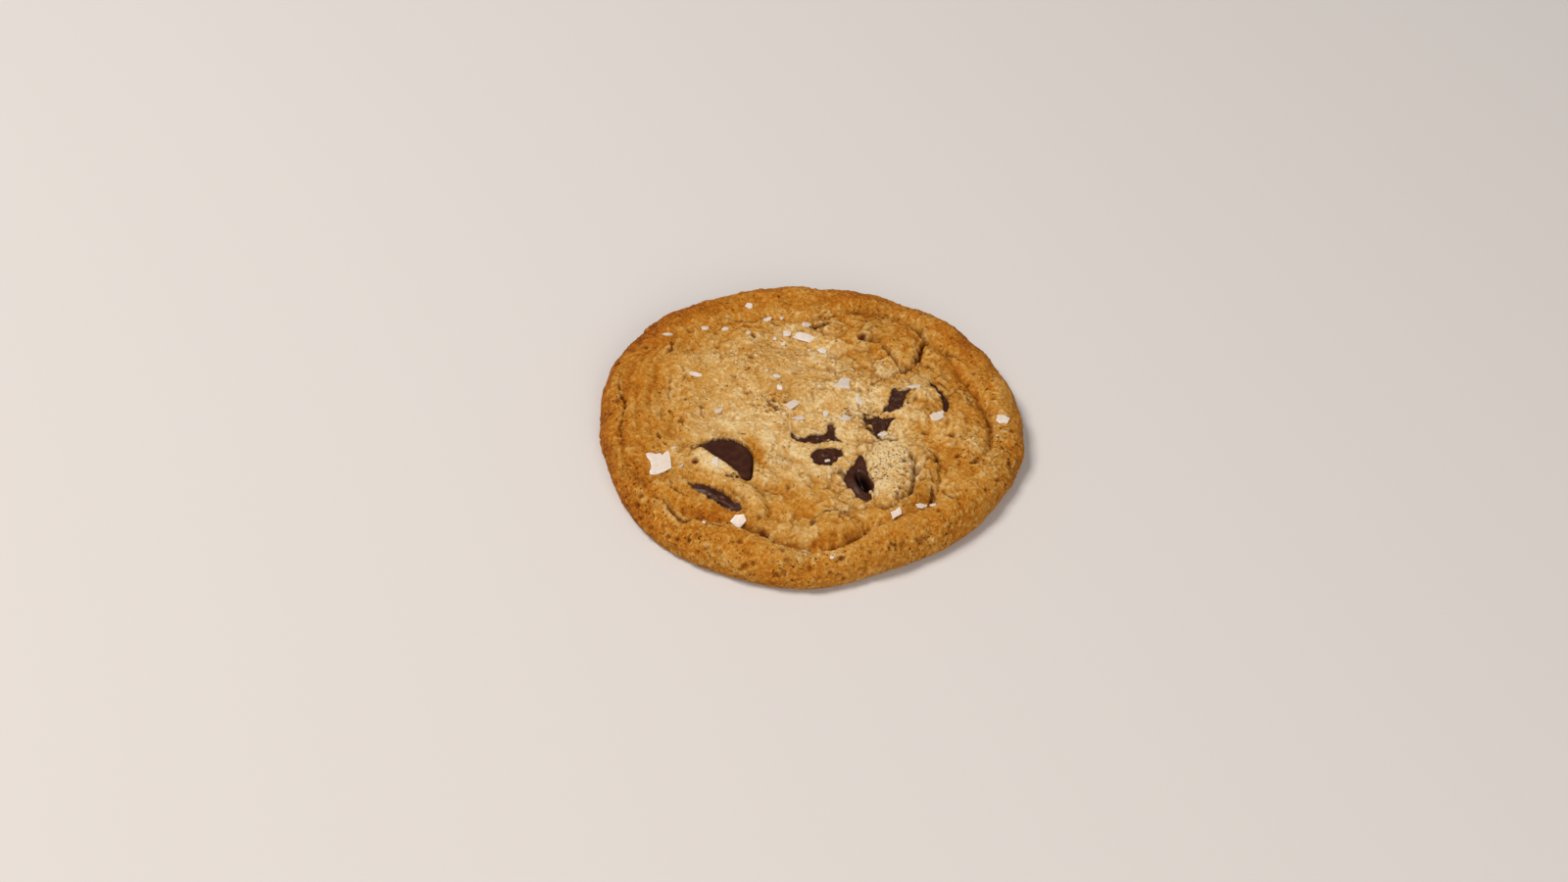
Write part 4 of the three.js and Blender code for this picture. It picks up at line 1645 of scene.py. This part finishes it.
@dataclass(frozen=True)
class SaltCrystal:
    """Cloudy flakes of sea salt, some of them wet enough to show the dough through."""

    colour: str = "#d8d0ca"
    wet: str = "#c5b5a8"

    def make(self) -> bpy.types.Material:
        """Builds the material."""
        # Crystals full of tiny flaws: cloudy white, and duller where they are wet.
        recipe = new_recipe("salt_crystal")
        place = recipe.add("TexCoord").outputs["Object"]
        clear = recipe.add("Attribute", {"attribute_name": "clear"}).outputs["Fac"]
        clouds = recipe.add("TexNoise", Vector=place, Scale=grain_scale(1.3), Detail=4.0, Roughness=0.7)
        level = recipe.add("Math", TIMES_PLUS, i0=clouds.outputs["Fac"], i1=2.0, i2=clear)
        share = recipe.add("MapRange", Value=level.outputs[0], i1=0.95, i2=1.80, i3=0.0, i4=0.9)
        colour = recipe.add("Mix", MIXED, i0=share.outputs[0], i6=linear(self.colour), i7=linear(self.wet))
        bump = recipe.add("Bump", Strength=0.4, Distance=0.2 * MM, Height=clouds.outputs["Fac"])
        recipe.finish(colour.outputs[2], bump, Roughness=0.35, IOR=1.544)
        return recipe.material


@dataclass(frozen=True)
class PaleTable:
    """A plain pale painted board under the cookie."""

    colour: str = "#c8c5c6"

    def make(self) -> bpy.types.Material:
        """Builds the material."""
        # Matt paint, which gives the eye a soft shadow and no reflection.
        recipe = new_recipe("pale_table")
        recipe.surface.inputs["Base Color"].default_value = linear(self.colour)
        recipe.surface.inputs["Roughness"].default_value = 0.7
        return recipe.material


# ---------------------------------------------------------------------------------------------
# The studio
# ---------------------------------------------------------------------------------------------


@dataclass
class Studio:
    """The floor, the lights and the camera, none of which is part of the cookie."""

    depression: float = 43.45
    roll: float = 1.28
    eye: tuple[float, float, float] = (-6.7, -471.5, 446.0)
    lens: float = 60.75
    floor: float = 6000.0

    def lay_floor(self, look: bpy.types.Material) -> None:
        """Lays a plain floor under the cookie."""
        bm = bmesh.new()
        bmesh.ops.create_grid(bm, x_segments=1, y_segments=1, size=self.floor / 2.0 * MM)
        make_piece("floor", bm, look)

    def set_camera(self) -> None:
        """Sets the camera up, looking down on the cookie from its front."""
        data = bpy.data.cameras.new("camera")
        data.lens = self.lens
        data.sensor_width = 36.0
        data.clip_start = 0.01
        camera = bpy.data.objects.new("camera", data)
        tilt = Matrix.Rotation(math.radians(90.0 - self.depression), 4, "X")
        roll = Matrix.Rotation(math.radians(self.roll), 4, "Z")
        camera.matrix_world = Matrix.Translation(Vector(self.eye) * MM) @ tilt @ roll
        bpy.context.scene.collection.objects.link(camera)
        bpy.context.scene.camera = camera

    def light(
        self, name: str, place: tuple[float, float, float], size: float, power: float, hue: str
    ) -> None:
        """Hangs a soft square lamp that faces the cookie.

        Args:
            name: the lamp's name.
            place: where it hangs, in mm.
            size: its side in mm.
            power: its power in watts.
            hue: its colour.
        """
        data = bpy.data.lights.new(name, "AREA")
        data.size = size * MM
        data.energy = power
        data.color = linear(hue)[:3]
        lamp = bpy.data.objects.new(name, data)
        lamp.location = Vector(place) * MM
        lamp.rotation_euler = (-lamp.location).to_track_quat("-Z", "Y").to_euler()
        bpy.context.scene.collection.objects.link(lamp)

    def light_all(self) -> None:
        """Lights the cookie softly from behind its left side, with a fill from its right."""
        bpy.context.scene.view_settings.view_transform = "Standard"
        self.light("window", (-650.0, 120.0, 1200.0), 520.0, 17.2, "#fff8ee")
        self.light("fill", (300.0, -1100.0, 650.0), 800.0, 9.0, "#fff4e6")
        world = bpy.data.worlds.new("room")
        world.use_nodes = True
        backdrop = world.node_tree.nodes["Background"]
        backdrop.inputs["Color"].default_value = linear("#f4f1ee")
        backdrop.inputs["Strength"].default_value = 0.28
        bpy.context.scene.world = world


def main() -> None:
    """Builds the cookie's pieces in order and sets them in the frame."""
    logging.basicConfig(level=logging.INFO, format="%(name)s: %(message)s")
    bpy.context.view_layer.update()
    studio = Studio()
    studio.set_camera()
    studio.light_all()
    studio.lay_floor(PaleTable().make())
    dough = Dough().build(BakedDough().make())
    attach(dough, BODY)
    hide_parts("dough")
    report(dough)
    skin = np.empty(3 * len(dough.data.vertices), np.float32)
    dough.data.vertices.foreach_get("co", skin)
    skin = skin.reshape(-1, 3).astype(float) / MM
    melted = DarkChocolate("melted_chocolate", "#371b10", "#4a2a1c", roughness=0.34)
    looks = {Melt.SOFTENED: DarkChocolate().make(), Melt.MELTED: melted.make()}
    pieces = []
    for place, (node, chocolate) in enumerate(CHOCOLATES.items()):
        piece = chocolate.build(node + "_face", skin, looks[chocolate.melt], FACE_SEED + 2 * place)
        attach(piece, BODY)
        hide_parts(node)
        report(piece)
        pieces.append(piece)
    salt = Salt().build([dough, *pieces], SaltCrystal().make())
    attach(salt, BODY)
    report(salt)


def report(piece: bpy.types.Object) -> None:
    """Logs a piece's name and size."""
    triangles = sum(len(face.vertices) - 2 for face in piece.data.polygons)
    LOG.info("%s: %d triangles", piece.name, triangles)


if __name__ == "__main__":
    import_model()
    main()
